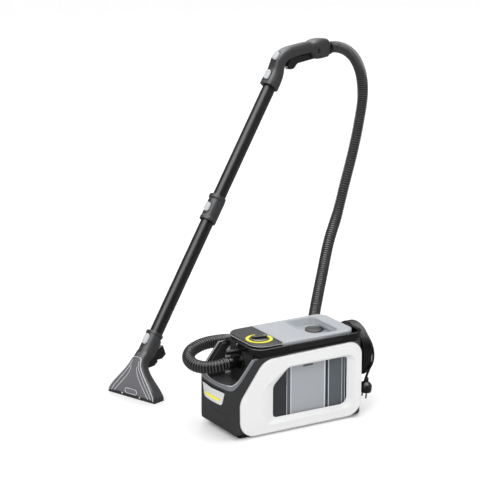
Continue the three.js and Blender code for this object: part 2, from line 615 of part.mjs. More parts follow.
const stickPoint = (along) => [
  STICK_FOOT[0] + along * Math.sin(STICK_TILT), STICK_FOOT[1] + along * Math.cos(STICK_TILT),
];
function handleShell() {
  const start = stickPoint(HANDLE_START);
  const shell = loft([
    ringAt(start, STICK_TILT, 27, 25, 18),
    ringAt(stickPoint(HANDLE_START + 14), STICK_TILT, 27, 25, 18),
    ringAt(stickPoint(HANDLE_START + 50), STICK_TILT, 25, 22, 16),
    ringAt([662, 893], 0.95, 23, 20, 15),
    ringAt([692, 907], 1.35, 20, 18, 14),
    ringAt([740, 911.5], QUARTER, 18.5, 17.5, 14),
    ringAt([790, 913], QUARTER, 18.5, 17.5, 14),
    ringAt([816, 908], QUARTER, 25, 20, 14),
    ringAt([850, 903], QUARTER + 0.1, 31, 24, 14),
    ringAt([884, 900], QUARTER, 29, 24, 16),
  ]);
  const tubeBore = rod(TUBE_R + GAP, HANDLE_START - 5, HANDLE_START + 41, 28);
  const ductBore = rod(DUCT_R + GAP, HANDLE_START - 5, HANDLE_START + 13, 16).translate(DUCT_X, 0, 0);
  const place = (geometry) => geometry.rotateY(STICK_TILT).translate(STICK_FOOT[0], 0, STICK_FOOT[1]);
  const channel = along(new THREE.CatmullRomCurve3([
    stickPoint(HANDLE_START + 30), stickPoint(HANDLE_START + 56), [668, 895], [700, 908], [745, 913],
    [800, 912], [850, 904], [890, 899],
  ].map(([x, z]) => new THREE.Vector3(x, 0, z))), 12.5, 20, 14);
  const lowerPocket = place(buttonPocket(847.6, 878.4));
  const upperPocket = slider(GAP + 0.2, 30);
  const triggerSlot = slabY([[692, 845], [849, 845], [849, 889], [790, 892.5], [692, 891.5]], -7, 7);
  const pinBore = acrossAt(2.6, 40, TRIGGER_PIVOT);
  return cut(
    shell, place(tubeBore), place(ductBore), channel, lowerPocket, upperPocket, triggerSlot, pinBore);
}
/** The ribbed thumb button on the outside of the bend, and the pocket that it sinks into. */
function slider(slack = 0, above = 0) {
  const under = slack > 0 ? 3 : 0;
  const slab = box(-13 - slack, 13 + slack, -8 - slack, 8 + slack, 19.5 - slack - under, 27.5 + above);
  return slab.rotateY(0.78).translate(652, 0, 889);
}
piece("handle_shell", handleShell(), ANTHRACITE, wand);
piece("handle_button", releaseButton(848, 878).translate(-4.5, 0, 0), BUTTON, stick);
piece("spray_lock_button", slider(), BUTTON, wand);

const trigger = slabY([
  [698, 866, 2], [716, 857, 8], [760, 869, 40], [840, 866, 8], [846, 880, 5], [836, 887, 5], [790, 881, 30],
  [724, 881, 6], [700, 877, 3],
], -6.5, 6.5);
/** A round bar across the wand's plane. */
function acrossAt(radius, half, [x, z]) {
  return rod(radius, -half, half, 14).rotateX(QUARTER).translate(x, 0, z);
}
piece("spray_trigger", cut(trigger, acrossAt(2.6, 20, TRIGGER_PIVOT)), BLACK, wand);
piece("trigger_pin", acrossAt(2.3, 18, TRIGGER_PIVOT), METAL, wand);
piece("hose_collar", turned([
  [12.8, 0], [24, 0], [24, 5], [21, 8], [21, 23], [12.8, 23], [12.8, 0],
]).rotateY(COLLAR.tilt).translate(COLLAR.x, 0, COLLAR.z), GLOSS, wand);

// ---- suction hose: one flexible run from the port, round to the floor and up to the handle ----

const toMachine = ([x, z]) => [
  WAND_AT[0] + x * Math.cos(WAND_TURN), WAND_AT[1] + x * Math.sin(WAND_TURN), z,
];
const hoseRoute = [
  [CUFF_END - 2 * GAP, 0, PORT_Z], [-191, 0, PORT_Z], [-203, 1.5, 192], [-218, 8, 189],
  [-238, 26, 185], [-254, 58, 185], [-252, 96, 192], [-228, 126, 202], [-184, 141, 210],
  [-136, 144, 211], [-90, 147, 205], [-38, 151, 182], [12, 156, 143], [58, 164, 96], [104, 182, 50],
  [150, 214, 23], [200, 262, 18.5], [250, 314, 18.5], [298, 364, 24], [348, 418, 42],
  [399, 480, 71], [452, 545, 109], [523, 620, 187], [583, 675, 274],
  ...[[966, 352], [1003, 442], [1044, 540], [1074, 630], [1092, 718], [1080, 790], [1046, 842], [1002, 874],
    [956, 891], [927, 895.4], [908.9, 895.4]].map(toMachine),
].map((p) => new THREE.Vector3(...p));
piece("suction_hose", along(new THREE.CatmullRomCurve3(hoseRoute), HOSE_R, 66, 8), BLACK);

part.updateMatrixWorld(true);
export default part;
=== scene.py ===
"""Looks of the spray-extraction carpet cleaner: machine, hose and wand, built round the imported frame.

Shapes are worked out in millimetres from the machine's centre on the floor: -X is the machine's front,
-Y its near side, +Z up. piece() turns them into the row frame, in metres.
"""

import math

import bmesh
import bpy
import numpy as np
from mathutils import Matrix, Vector


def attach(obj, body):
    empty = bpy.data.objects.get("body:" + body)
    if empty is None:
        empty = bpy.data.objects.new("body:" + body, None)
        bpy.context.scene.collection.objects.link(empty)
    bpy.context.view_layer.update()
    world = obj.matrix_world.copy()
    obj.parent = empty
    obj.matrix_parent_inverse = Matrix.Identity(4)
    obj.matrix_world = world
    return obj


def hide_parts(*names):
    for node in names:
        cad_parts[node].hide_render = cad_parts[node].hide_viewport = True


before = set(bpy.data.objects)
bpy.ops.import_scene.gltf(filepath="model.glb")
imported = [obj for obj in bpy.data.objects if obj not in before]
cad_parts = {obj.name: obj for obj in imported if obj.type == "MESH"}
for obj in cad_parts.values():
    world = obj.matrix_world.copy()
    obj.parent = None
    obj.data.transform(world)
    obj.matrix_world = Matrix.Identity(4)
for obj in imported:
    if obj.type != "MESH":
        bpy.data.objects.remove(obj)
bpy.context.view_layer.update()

# ---- sizes, in millimetres ----

MACHINE_AT = (-133.98, -303.93)
GAP = 0.3
HALF_WIDTH, PANEL_IN, CORE, SKIN = 101.5, 86.0, 85.7, 97.0
FLOOR = 8.0
FRONT, REAR = -233.0, 212.0
HEAD_FRONT, HEAD_BACK, BAY_BACK = -141.0, -41.0, 160.0
DECK, DECK_TOP, TOP, LID_UNDER = 228.0, 234.5, 259.0, 247.0
PANEL_BACK, RIM_HALF, LID_BACK = -57.0, 87.5, 183.0
SCOOP_FLOOR, SCOOP_RIM, TRIM_THICK, TRIM_SKIN, RIM_SKIN = 132.0, 151.0, 3.0, 4.0, 5.5
PORT_Z, SPRAY_Z, CUFF_END, HOSE_R = 194.0, 226.0, -182.0, 18.0
BAIL_Z, BAIL_NEAR, BAIL_FAR, BAIL_LOW, BAIL_HIGH = 243.8, 92.0, 99.5, 235.2, 252.4
BAIL_FRONT, BAIL_REAR, GRIP = -153.0, 200.0, (-44.0, 129.0)
KNOB_AT, KNOB_RING = (-96.0, -26.0), (29.0, 38.0)
COIL_Y, COIL_Z, COIL_X0, COIL_X1, COIL_IN, COIL_OUT = -2.0, 173.0, 214.0, 250.0, 52.0, 79.0
CABLE_R = 3.5
WAND_AT, WAND_TURN = (-271.0, 379.0), math.radians(20)
STICK_TILT, STICK_FOOT = math.radians(39.05), (86.1, 169.0)
TUBE_R, DUCT_R, DUCT_X = 17.5, 6.0, 25.2
COUPLING, HANDLE_START = (374.0, 456.0), 836.0
TANK_HALF = CORE - 5
TANK_FOOT, TANK_RIM, TANK_SKIN = 32, 232, 2.5
RIB_DEPTH, RIB_PITCH, RIB_CUTS = 3.2, 7.6, 8
TUBE_BORE, TUBE_JOIN, DUCT_JOIN, NOZZLE_SKIN = 15.5, 412, 414, 4
KNOB_TURN = math.radians(-12)
HIGH = 300  # above everything on the machine, for what is cut right through
CAMERA_AT, CAMERA_DOWN, CAMERA_ASIDE, LENS = (-3.21288, -5.29323, 2.1633), 15.63, 30.48, 165
QUARTER = math.pi / 2


# ---- camera, floor and light ----


def set_camera():
    camera = bpy.data.objects.new("camera", bpy.data.cameras.new("camera"))
    bpy.context.scene.collection.objects.link(camera)
    camera.data.lens = LENS
    camera.data.sensor_width = 36
    camera.data.clip_end = 60
    camera.location = CAMERA_AT
    camera.rotation_euler = (math.radians(90 - CAMERA_DOWN), 0, math.radians(-CAMERA_ASIDE))
    bpy.context.scene.camera = camera


set_camera()

# ---- outlines, rings and routes ----


def unit(v):
    return v / max(np.linalg.norm(v), 1e-12)


def rounded(corners, steps=8, runs=1):
    """A closed outline through corners (x, y, radius), each rounded by an arc of its radius."""
    arcs = []
    count = len(corners)
    for i, corner in enumerate(corners):
        at = np.array(corner[:2], float)
        radius = corner[2] if len(corner) > 2 else 0
        if radius <= 0:
            arcs.append([at])
            continue
        back = unit(np.array(corners[i - 1][:2], float) - at)
        on = unit(np.array(corners[(i + 1) % count][:2], float) - at)
        half = math.acos(np.clip(back @ on, -1, 1)) / 2
        start = at + back * radius / math.tan(half)
        end = at + on * radius / math.tan(half)
        centre = at + unit(back + on) * radius / math.sin(half)
        turn0 = math.atan2(*(start - centre)[::-1])
        sweep = math.atan2(*(end - centre)[::-1]) - turn0
        sweep = (sweep + math.pi) % (2 * math.pi) - math.pi
        turns = turn0 + sweep * np.arange(steps + 1) / steps
        arcs.append([centre + radius * np.array([math.cos(a), math.sin(a)]) for a in turns])
    points = []
    for i, arc in enumerate(arcs):
        follow = arcs[(i + 1) % count][0]
        points += arc
        points += [arc[-1] + (follow - arc[-1]) * k / runs for k in range(1, runs)]
    return np.array(points)


def inset(line, depth):
    """A closed outline moved inwards by a depth, whichever way round it runs."""
    before, after = np.roll(line, 1, 0), np.roll(line, -1, 0)
    x, y = line[:, 0], line[:, 1]
    area = np.sum(x * np.roll(y, -1) - np.roll(x, -1) * y)
    side = 1 if area > 0 else -1

    def normals(step):
        length = np.maximum(np.linalg.norm(step, axis=1), 1e-9)
        return side * np.stack([-step[:, 1], step[:, 0]], 1) / length[:, None]

    n0, n1 = normals(line - before), normals(after - line)
    flat0 = np.linalg.norm(line - before, axis=1) < 1e-6
    flat1 = np.linalg.norm(after - line, axis=1) < 1e-6
    n0[flat0], n1[flat1] = n1[flat0], n0[flat1]
    spread = 1 + np.sum(n0 * n1, axis=1)
    return line + depth * (n0 + n1) / np.maximum(spread, 0.3)[:, None]


AXES = {"z": (0, 1, 2), "y": (0, 2, 1), "x": (2, 0, 1)}


def lift(line, axis, height):
    """A flat outline as points in space: drawn in XY at a z, in XZ at a y, or in YZ at an x."""
    flat = np.column_stack([line, np.full(len(line), float(height))])
    return flat[:, AXES[axis]]


def smooth_route(points, per_span=12):
    """The centripetal Catmull-Rom line through points."""
    p = np.array(points, float)
    p = np.vstack([2 * p[0] - p[1], p, 2 * p[-1] - p[-2]])
    line = []
    for p0, p1, p2, p3 in zip(p, p[1:], p[2:], p[3:]):
        d0, d1, d2 = (math.sqrt(np.linalg.norm(b - a)) for a, b in ((p0, p1), (p1, p2), (p2, p3)))
        m1 = d1 * ((p1 - p0) / d0 - (p2 - p0) / (d0 + d1) + (p2 - p1) / d1)
        m2 = d1 * ((p2 - p1) / d1 - (p3 - p1) / (d1 + d2) + (p3 - p2) / d2)
        for t in np.arange(per_span) / per_span:
            line.append(
                (2 * t**3 - 3 * t**2 + 1) * p1 + (t**3 - 2 * t**2 + t) * m1
                + (3 * t**2 - 2 * t**3) * p2 + (t**3 - t**2) * m2)
    return np.array([*line, p[-2]])


# ---- solids, as meshes in machine millimetres ----


def mesh_of(points, faces, thin=0.0):
    mesh = bpy.data.meshes.new("work")
    mesh.from_pydata([tuple(map(float, p)) for p in points], [], faces)
    return tidy(mesh, thin=thin)


def tidy(mesh, near=1e-3, thin=0.0):
    """Joins doubled points, takes out what is thinner than a length, and turns every face outwards."""
    work = bmesh.new()
    work.from_mesh(mesh)
    bmesh.ops.remove_doubles(work, verts=work.verts, dist=near)
    if thin:
        bmesh.ops.dissolve_degenerate(work, edges=work.edges, dist=thin)
    bmesh.ops.recalc_face_normals(work, faces=work.faces)
    work.to_mesh(mesh)
    work.free()
    return mesh


def bands(rings, endless):
    """The faces between each ring of points and the next. Endless joins the last ring to the first."""
    count = len(rings[0])
    faces = []
    for r in range(len(rings) if endless else len(rings) - 1):
        a, b = r * count, ((r + 1) % len(rings)) * count
        faces += [(a + k, a + (k + 1) % count, b + (k + 1) % count, b + k) for k in range(count)]
    return faces


def loft(rings, endless=False):
    """A closed skin through rings of points with as many points each, capped unless it is endless."""
    count = len(rings[0])
    faces = bands(rings, endless)
    if not endless:
        faces.append(tuple(range(count))[::-1])
        faces.append(tuple(range((len(rings) - 1) * count, len(rings) * count)))
    return mesh_of(np.vstack(rings), faces)


def slab(corners, axis, low, high, edge=0.0, steps=10, bends=3):
    """A plate of an outline between two levels, its edges rounded by a radius."""
    line = rounded(corners, steps)
    if edge <= 0:
        return loft([lift(line, axis, low), lift(line, axis, high)])
    turns = [QUARTER * k / bends for k in range(bends + 1)]
    arc = [(edge * (1 - math.sin(a)), edge * (1 - math.cos(a))) for a in turns]
    rings = [lift(inset(line, depth), axis, low + rise) for depth, rise in arc]
    return loft(rings + [lift(inset(line, depth), axis, high - rise) for depth, rise in arc[::-1]])


def block(x0, x1, y0, y1, z0, z1, edge=0.0):
    return slab([(x0, y0), (x1, y0), (x1, y1), (x0, y1)], "z", z0, z1, edge)


def rectangle(x0, y0, x1, y1, r=0.0):
    return [(x0, y0, r), (x1, y0, r), (x1, y1, r), (x0, y1, r)]


def front_and_back(x0, x1, half, r0=0.0, r1=0.0):
    """An outline even about the middle, with one radius for its front corners and one for its back ones."""
    return [(x0, -half, r0), (x0, half, r0), (x1, half, r1), (x1, -half, r1)]


def near_and_far(x0, x1, half, r0=0.0, r1=0.0):
    """The same outline, run along the near side first."""
    return [(x0, -half, r0), (x1, -half, r1), (x1, half, r1), (x0, half, r0)]


def turned(profile, sides=64):
    """A solid of revolution about Z, from (radius, height) pairs; a third number rounds that corner."""
    corners = [tuple(p) + (0,) * (3 - len(p)) for p in profile]
    angles = 2 * math.pi * np.arange(sides) / sides
    rings = [
        np.column_stack([r * np.cos(angles), r * np.sin(angles), np.full(sides, z)])
        for r, z in rounded(corners, 5)]
    return mesh_of(np.vstack(rings), bands(rings, corners[0][0] > 0), 1e-4)


def rod(radius, z0, z1, sides=48, edge=0.0):
    return turned([(0, z0), (radius, z0, edge), (radius, z1, edge), (0, z1)], sides)


def pipe(inner, outer, z0, z1, sides=64, edge=0.0):
    return turned([(inner, z0, edge), (outer, z0, edge), (outer, z1, edge), (inner, z1, edge)], sides)


def moved(mesh, *matrices):
    """The mesh after each matrix in turn."""
    for matrix in matrices:
        mesh.transform(matrix)
        if matrix.determinant() < 0:
            mesh.flip_normals()
    return mesh


def at(x, y=0.0, z=0.0):
    return Matrix.Translation((x, y, z))


def turn(axis, radians):
    return Matrix.Rotation(radians, 4, axis)


ALONG_X = turn("Y", -QUARTER)  # +Z turned to -X
MIRROR = Matrix.Diagonal((1, -1, 1, 1))


def copy_of(mesh):
    return mesh.copy()


def stand_in(mesh):
    thing = bpy.data.objects.new("work", mesh)
    bpy.context.scene.collection.objects.link(thing)
    return thing


def shown_mesh(thing):
    """The object's mesh with its modifiers applied."""
    bpy.context.view_layer.update()
    seen = thing.evaluated_get(bpy.context.evaluated_depsgraph_get())
    return bpy.data.meshes.new_from_object(seen)


def combine(operation, first, tools):
    """Joins, cuts or intersects solids one after another."""
    mesh = first
    for tool in tools:
        a, b = stand_in(mesh), stand_in(tool)
        step = a.modifiers.new("step", "BOOLEAN")
        step.operation, step.solver, step.object = operation, "EXACT", b
        mesh = shown_mesh(a)
        bpy.data.objects.remove(a)
        bpy.data.objects.remove(b)
    return mesh


def join(first, *tools):
    return combine("UNION", first, tools)


def cut(first, *tools):
    return combine("DIFFERENCE", first, tools)


def common(first, *tools):
    return combine("INTERSECT", first, tools)


def together(*meshes):
    """Separate shells kept in one mesh."""
    work = bmesh.new()
    for mesh in meshes:
        work.from_mesh(mesh)
    mesh = bpy.data.meshes.new("work")
    work.to_mesh(mesh)
    work.free()
    return mesh


# ---- finishing a piece ----


def piece(name, mesh, finish, nodes=(), body="root", bevel=0.0, sharp=35, bends=2, clean=0.02, limit=30):
    """Gives a mesh its rounded edges, finish, body and place, and stands it in for its CAD nodes."""
    material, slot_name = finish
    if clean:
        tidy(mesh, clean)
    thing = stand_in(mesh)
    thing.name = name
    if bevel:
        work = bmesh.new()
        work.from_mesh(mesh)
        bmesh.ops.dissolve_limit(
            work, angle_limit=math.radians(0.6), verts=work.verts, edges=work.edges)
        work.to_mesh(mesh)
        work.free()
        edge = thing.modifiers.new("edges", "BEVEL")
        edge.width, edge.segments, edge.limit_method = bevel, bends, "ANGLE"
        edge.angle_limit = math.radians(limit)
        edge.use_clamp_overlap = True
        edge.miter_outer = "MITER_SHARP"
    mesh = shown_mesh(thing)
    thing.modifiers.clear()
    tidy(mesh, 2e-3)
    mesh.polygons.foreach_set("use_smooth", [True] * len(mesh.polygons))
    mesh.set_sharp_from_angle(angle=math.radians(sharp))
    thing.data = mesh
    thing.modifiers.new("even shading", "WEIGHTED_NORMAL").keep_sharp = True
    mesh = shown_mesh(thing)
    thing.modifiers.clear()
    thing.data = mesh
    mesh.transform(Matrix.Diagonal((0.001, 0.001, 0.001, 1)) @ at(*MACHINE_AT, 0))
    mesh.name = name
    mesh.materials.clear()
    mesh.materials.append(material)
    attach(thing, body)
    if nodes:
        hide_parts(*([nodes] if isinstance(nodes, str) else nodes))
    return thing


# ---- shader groups ----


def linear(colour):
    """A colour from screen values to the shader's linear values."""
    return tuple(c / 12.92 if c <= 0.04045 else ((c + 0.055) / 1.055) ** 2.4 for c in colour)


def new_group(name, inputs, outputs):
    group = bpy.data.node_groups.new(name, "ShaderNodeTree")
    for label, kind, value in inputs:
        socket = group.interface.new_socket(name=label, in_out="INPUT", socket_type=kind)
        socket.default_value = value
    for label, kind in outputs:
        group.interface.new_socket(name=label, in_out="OUTPUT", socket_type=kind)
    return group, group.nodes.new("NodeGroupInput"), group.nodes.new("NodeGroupOutput")


def node(tree, kind, links=None, **settings):
    """A node with its settings, and its inputs linked from sockets or set to values."""
    made = tree.nodes.new(kind)
    for key, value in settings.items():
        setattr(made, key, value)
    for key, value in (links or {}).items():
        if isinstance(value, bpy.types.NodeSocket):
            tree.links.new(value, made.inputs[key])
        else:
            made.inputs[key].default_value = value
    return made


def maths(tree, operation, *values):
    """The result of a sum on sockets or plain values."""
    return node(tree, "ShaderNodeMath", dict(enumerate(values)), operation=operation).outputs[0]


def spread(tree, value, low, high, top=1.0, **settings):
    """A value spread from its own low and high to 0 and top."""
    return node(tree, "ShaderNodeMapRange", {
        "Value": value, "From Min": low, "From Max": high, "To Max": top}, **settings).outputs[0]


def noise(tree, place, scale, detail, roughness=0.5, distortion=0.0):
    return node(tree, "ShaderNodeTexNoise", {
        "Vector": place, "Scale": scale, "Detail": detail, "Roughness": roughness,
        "Distortion": distortion}).outputs["Fac"]


FLOAT, VECTOR, INT, MATERIAL = (f"NodeSocket{kind}" for kind in ("Float", "Vector", "Int", "Material"))


def moulded_grain_group():
    """The fine texture of a steel mould, with broad patches where the plastic flowed unevenly."""
    group, given, result = new_group(
        "moulded grain",
        [("Grain Size", FLOAT, 0.0006), ("Patch Size", FLOAT, 0.05)],
        [("Height", FLOAT), ("Patches", FLOAT)])
    place = node(group, "ShaderNodeTexCoord").outputs["Object"]
    fine = maths(group, "DIVIDE", 1.0, given.outputs["Grain Size"])
    broad = maths(group, "DIVIDE", 1.0, given.outputs["Patch Size"])
    pits = node(group, "ShaderNodeTexVoronoi", {"Vector": place, "Scale": fine}, feature="SMOOTH_F1")
    mixed = maths(group, "MULTIPLY", noise(group, place, fine, 2.0, 0.6), pits.outputs["Distance"])
    group.links.new(mixed, result.inputs["Height"])
    group.links.new(noise(group, place, broad, 3.0), result.inputs["Patches"])
    return group


def handling_group():
    """Hair scratches and finger marks: a mask that is 1 where the surface has been rubbed."""
    group, given, result = new_group(
        "handling marks",
        [("Scratch Size", FLOAT, 0.02), ("Amount", FLOAT, 0.5)],
        [("Marks", FLOAT)])
    place = node(group, "ShaderNodeTexCoord").outputs["Object"]
    pull = node(group, "ShaderNodeMapping", {
        "Vector": place, "Rotation": (0.5, 0.35, 0.9), "Scale": (1.0, 14.0, 1.0)})
    scale = maths(group, "DIVIDE", 1.0, given.outputs["Scratch Size"])
    hair = spread(group, noise(group, pull.outputs[0], scale, 5.0, 0.7, 0.4), 0.62, 0.78)
    smear = spread(group, noise(group, place, 22.0, 4.0, 0.5, 0.8), 0.48, 0.75, 0.6)
    both = maths(group, "MAXIMUM", hair, smear)
    group.links.new(maths(group, "MULTIPLY", both, given.outputs["Amount"]), result.inputs["Marks"])
    return group


def dust_group():
    """A little dust on what faces up."""
    group, given, result = new_group("settled dust", [("Amount", FLOAT, 0.2)], [("Dust", FLOAT)])
    coordinates = node(group, "ShaderNodeTexCoord")
    up = node(group, "ShaderNodeSeparateXYZ", {0: coordinates.outputs["Normal"]}).outputs["Z"]
    cloud = noise(group, coordinates.outputs["Object"], 60.0, 6.0, 0.75)
    both = maths(group, "MULTIPLY", spread(group, up, 0.35, 1.0), spread(group, cloud, 0.45, 0.8))
    group.links.new(maths(group, "MULTIPLY", both, given.outputs["Amount"]), result.inputs["Dust"])
    return group


MOULDED_GRAIN, HANDLING, DUST = moulded_grain_group(), handling_group(), dust_group()
DUST_COLOUR = (0.42, 0.41, 0.39, 1)


def finish_of(name, slot_name, colour, roughness, grain=(0.0006, 0.00002), patch=0.05, uneven=0.04,
              marks=0.3, scratch=0.02, dust=0.0, metallic=0.0, clear=0.0, specular=0.5, ior=1.5, painted_valley_shade=None):
    """A plastic, rubber or metal finish: grain in its relief, patches in its colour, marks in its gloss, and
    painted shade in rib valleys when a colour is given for it.
    """
    material = bpy.data.materials.new(name)
    material.use_nodes = True
    tree = material.node_tree
    shader = tree.nodes["Principled BSDF"]
    grained = node(
        tree, "ShaderNodeGroup", {"Grain Size": grain[0], "Patch Size": patch}, node_tree=MOULDED_GRAIN)
    handled = node(tree, "ShaderNodeGroup", {"Scratch Size": scratch, "Amount": marks}, node_tree=HANDLING)
    base = linear(colour)
    tint = node(tree, "ShaderNodeMix", {"Factor": grained.outputs["Patches"]}, data_type="RGBA")
    tint.inputs["A"].default_value = (*[c * (1 - uneven) for c in base], 1)
    tint.inputs["B"].default_value = (*[min(c * (1 + uneven), 1) for c in base], 1)
    shown = tint.outputs["Result"]
    # Rib valleys are mixed towards a near-black colour: painted shade in the hollows between ribs.
    if painted_valley_shade:
        depth = node(tree, "ShaderNodeAttribute", attribute_name="painted_valley_shade")
        valley_shaded = node(tree, "ShaderNodeMix", {"Factor": depth.outputs["Fac"], "A": shown}, data_type="RGBA")
        valley_shaded.inputs["B"].default_value = (*linear(painted_valley_shade), 1)
        shown = valley_shaded.outputs["Result"]
    if dust:
        dusty = node(tree, "ShaderNodeGroup", {"Amount": dust}, node_tree=DUST)
        dusted = node(tree, "ShaderNodeMix", {"Factor": dusty.outputs["Dust"], "A": shown}, data_type="RGBA")
        dusted.inputs["B"].default_value = DUST_COLOUR
        shown = dusted.outputs["Result"]
    tree.links.new(shown, shader.inputs["Base Color"])
    gloss = node(tree, "ShaderNodeMapRange", {
        "Value": handled.outputs["Marks"], "To Min": roughness, "To Max": min(roughness + 0.25, 0.95)})
    tree.links.new(gloss.outputs[0], shader.inputs["Roughness"])
    relief = node(tree, "ShaderNodeBump", {
        "Height": grained.outputs["Height"], "Distance": grain[1], "Strength": 1.0})
    tree.links.new(relief.outputs[0], shader.inputs["Normal"])
    for label, value in (("Metallic", metallic), ("Transmission Weight", clear), ("IOR", ior),
                         ("Specular IOR Level", specular)):
        shader.inputs[label].default_value = value
    return material, slot_name


WHITE = finish_of(
    "satin white shell", "white_panel", (0.88, 0.88, 0.882),
    0.42, (0.0011, 0.000012), 0.09, 0.008, 0.25)
ANTHRACITE = finish_of(
    "anthracite shell", "anthracite", (0.19, 0.192, 0.197),
    0.4, (0.0009, 0.00003), 0.04, 0.08, 0.35, dust=0.02)
GLOSS = finish_of(
    "polished black", "gloss_black", (0.05, 0.05, 0.053),
    0.12, (0.0012, 0.000003), 0.06, 0.1, 0.5)
SATIN_BLACK = finish_of(
    "satin black", "black_plastic", (0.07, 0.07, 0.075),
    0.34, (0.0008, 0.00002), 0.04, 0.1, 0.4)
LID_GREY = finish_of(
    "cool grey lid", "lid_grey", (0.695, 0.71, 0.73),
    0.36, (0.001, 0.000012), 0.06, 0.02, 0.3)
SILVER = finish_of(
    "silver lacquer", "silver_trim", (0.52, 0.53, 0.55),
    0.3, (0.0005, 0.000006), 0.02, 0.06, 0.3, metallic=0.35)
PLATE_SILVER = finish_of(
    "bright badge lacquer", "silver_trim", (0.86, 0.86, 0.865),
    0.28, (0.0005, 0.000006), 0.02, 0.04, 0.2, metallic=0.1)
YELLOW = finish_of(
    "signal yellow print", "yellow_mark", (0.97, 0.93, 0.06),
    0.4, (0.0004, 0.000008), 0.01, 0.03, 0.2)
CLEAR_TANK = finish_of(
    "clear tank", "clear_tank", (0.79, 0.805, 0.825),
    0.16, (0.003, 0.000008), 0.05, 0.02, 0.3, clear=0.45, ior=1.2)
SMOKE_TANK = finish_of(
    "smoked tank", "smoke_tank", (0.45, 0.475, 0.5),
    0.14, (0.003, 0.000008), 0.05, 0.04, 0.3, clear=0.45, ior=1.2)
SMOKE_WINDOW = finish_of(
    "smoked window", "smoke_window", (0.5, 0.5, 0.515),
    0.1, (0.002, 0.000004), 0.03, 0.05, 0.4, clear=0.3, ior=1.3)
# Pale tank plastic, used for the baffle and for the painted highlight strips on the tank walls.
PALE_TANK_AND_HIGHLIGHT = finish_of(
    "pale tank plastic and painted highlight", "clear_tank", (0.85, 0.86, 0.87), 0.25, (0.003, 0.000006), 0.05, 0.02, 0.3)
WINDOW_LINE = finish_of(
    "window rib", "smoke_window", (0.86, 0.86, 0.87), 0.2, (0.002, 0.000004), 0.03, 0.02, 0.3)
BUTTON = finish_of(
    "soft grey button", "button_grey", (0.78, 0.79, 0.8),
    0.45, (0.0005, 0.00002), 0.01, 0.05, 0.5)
RUBBER = finish_of(
    "matte rubber", "rubber", (0.1, 0.1, 0.105),
    0.78, (0.0006, 0.00004), 0.02, 0.12, 0.3, dust=0.03, specular=0.3)
# The hose's rib valleys are painted near black: painted shade in its hollows.
HOSE = finish_of(
    "glossy hose", "hose", (0.26, 0.26, 0.265), 0.16, (0.002, 0.00001), 0.03, 0.12, 0.4,
    painted_valley_shade=(0.01, 0.01, 0.01))
CORD = finish_of("cable sheath", "cord", (0.06, 0.06, 0.063), 0.25, (0.0012, 0.00003), 0.03, 0.1, 0.4)
METAL = finish_of(
    "plated steel", "metal", (0.76, 0.77, 0.78),
    0.24, (0.0004, 0.000004), 0.01, 0.05, 0.6, 0.006, metallic=1.0)
CAST = finish_of(
    "cast aluminium", "motor_metal", (0.7, 0.71, 0.72),
    0.45, (0.0009, 0.00006), 0.02, 0.08, 0.4, metallic=1.0)


# ---- geometry trees for what repeats ----


def new_tree(name, inputs):
    tree = bpy.data.node_groups.new(name, "GeometryNodeTree")
    tree.interface.new_socket(name="Geometry", in_out="INPUT", socket_type="NodeSocketGeometry")
    for label, kind, value in inputs:
        socket = tree.interface.new_socket(name=label, in_out="INPUT", socket_type=kind)
        if value is not None:
            socket.default_value = value
    tree.interface.new_socket(name="Geometry", in_out="OUTPUT", socket_type="NodeSocketGeometry")
    return tree, tree.nodes.new("NodeGroupInput"), tree.nodes.new("NodeGroupOutput")


def close_tree(tree, given, result, geometry):
    """Every tree ends the same way: real geometry, in its finish."""
    real = node(tree, "GeometryNodeRealizeInstances", {"Geometry": geometry})
    dressed = node(tree, "GeometryNodeSetMaterial", {
        "Geometry": real.outputs[0], "Material": given.outputs["Finish"]})
    tree.links.new(dressed.outputs[0], result.inputs["Geometry"])
    return tree


def ribbed_line_tree():
    """A tube along a line, its radius dipping between ribs at an even pitch."""
    tree, given, result = new_tree("ribbed line", [
        ("Radius", FLOAT, 18.0), ("Rib Depth", FLOAT, 1.8), ("Pitch", FLOAT, 5.2), ("Cuts", FLOAT, 6.0),
        ("Sides", INT, 24), ("Finish", MATERIAL, None)])
    curve = node(tree, "GeometryNodeMeshToCurve", {"Mesh": given.outputs["Geometry"]})
    step = maths(tree, "DIVIDE", given.outputs["Pitch"], given.outputs["Cuts"])
    even = node(tree, "GeometryNodeResampleCurve", {"Curve": curve.outputs[0], "Length": step}, mode="LENGTH")
    along = node(tree, "GeometryNodeSplineParameter")
    ribs = maths(tree, "DIVIDE", along.outputs["Length"], given.outputs["Pitch"])
    wave = maths(tree, "COSINE", maths(tree, "MULTIPLY", ribs, 2 * math.pi))
    shaped = spread(tree, wave, -0.45, 0.45, interpolation_type="SMOOTHSTEP")
    dip = maths(tree, "MULTIPLY", shaped, given.outputs["Rib Depth"])
    radius = maths(tree, "SUBTRACT", given.outputs["Radius"], dip)
    # The rib mask is stored so that a finish can paint shade into the valleys between ribs.
    kept = node(tree, "GeometryNodeStoreNamedAttribute", {
        "Geometry": even.outputs[0], "Name": "painted_valley_shade", "Value": shaped})
    section = node(tree, "GeometryNodeCurvePrimitiveCircle", {
        "Resolution": given.outputs["Sides"], "Radius": 1.0})
    skin = node(tree, "GeometryNodeCurveToMesh", {
        "Curve": kept.outputs[0], "Profile Curve": section.outputs[0], "Scale": radius,
        "Fill Caps": True})
    return close_tree(tree, given, result, skin.outputs[0])


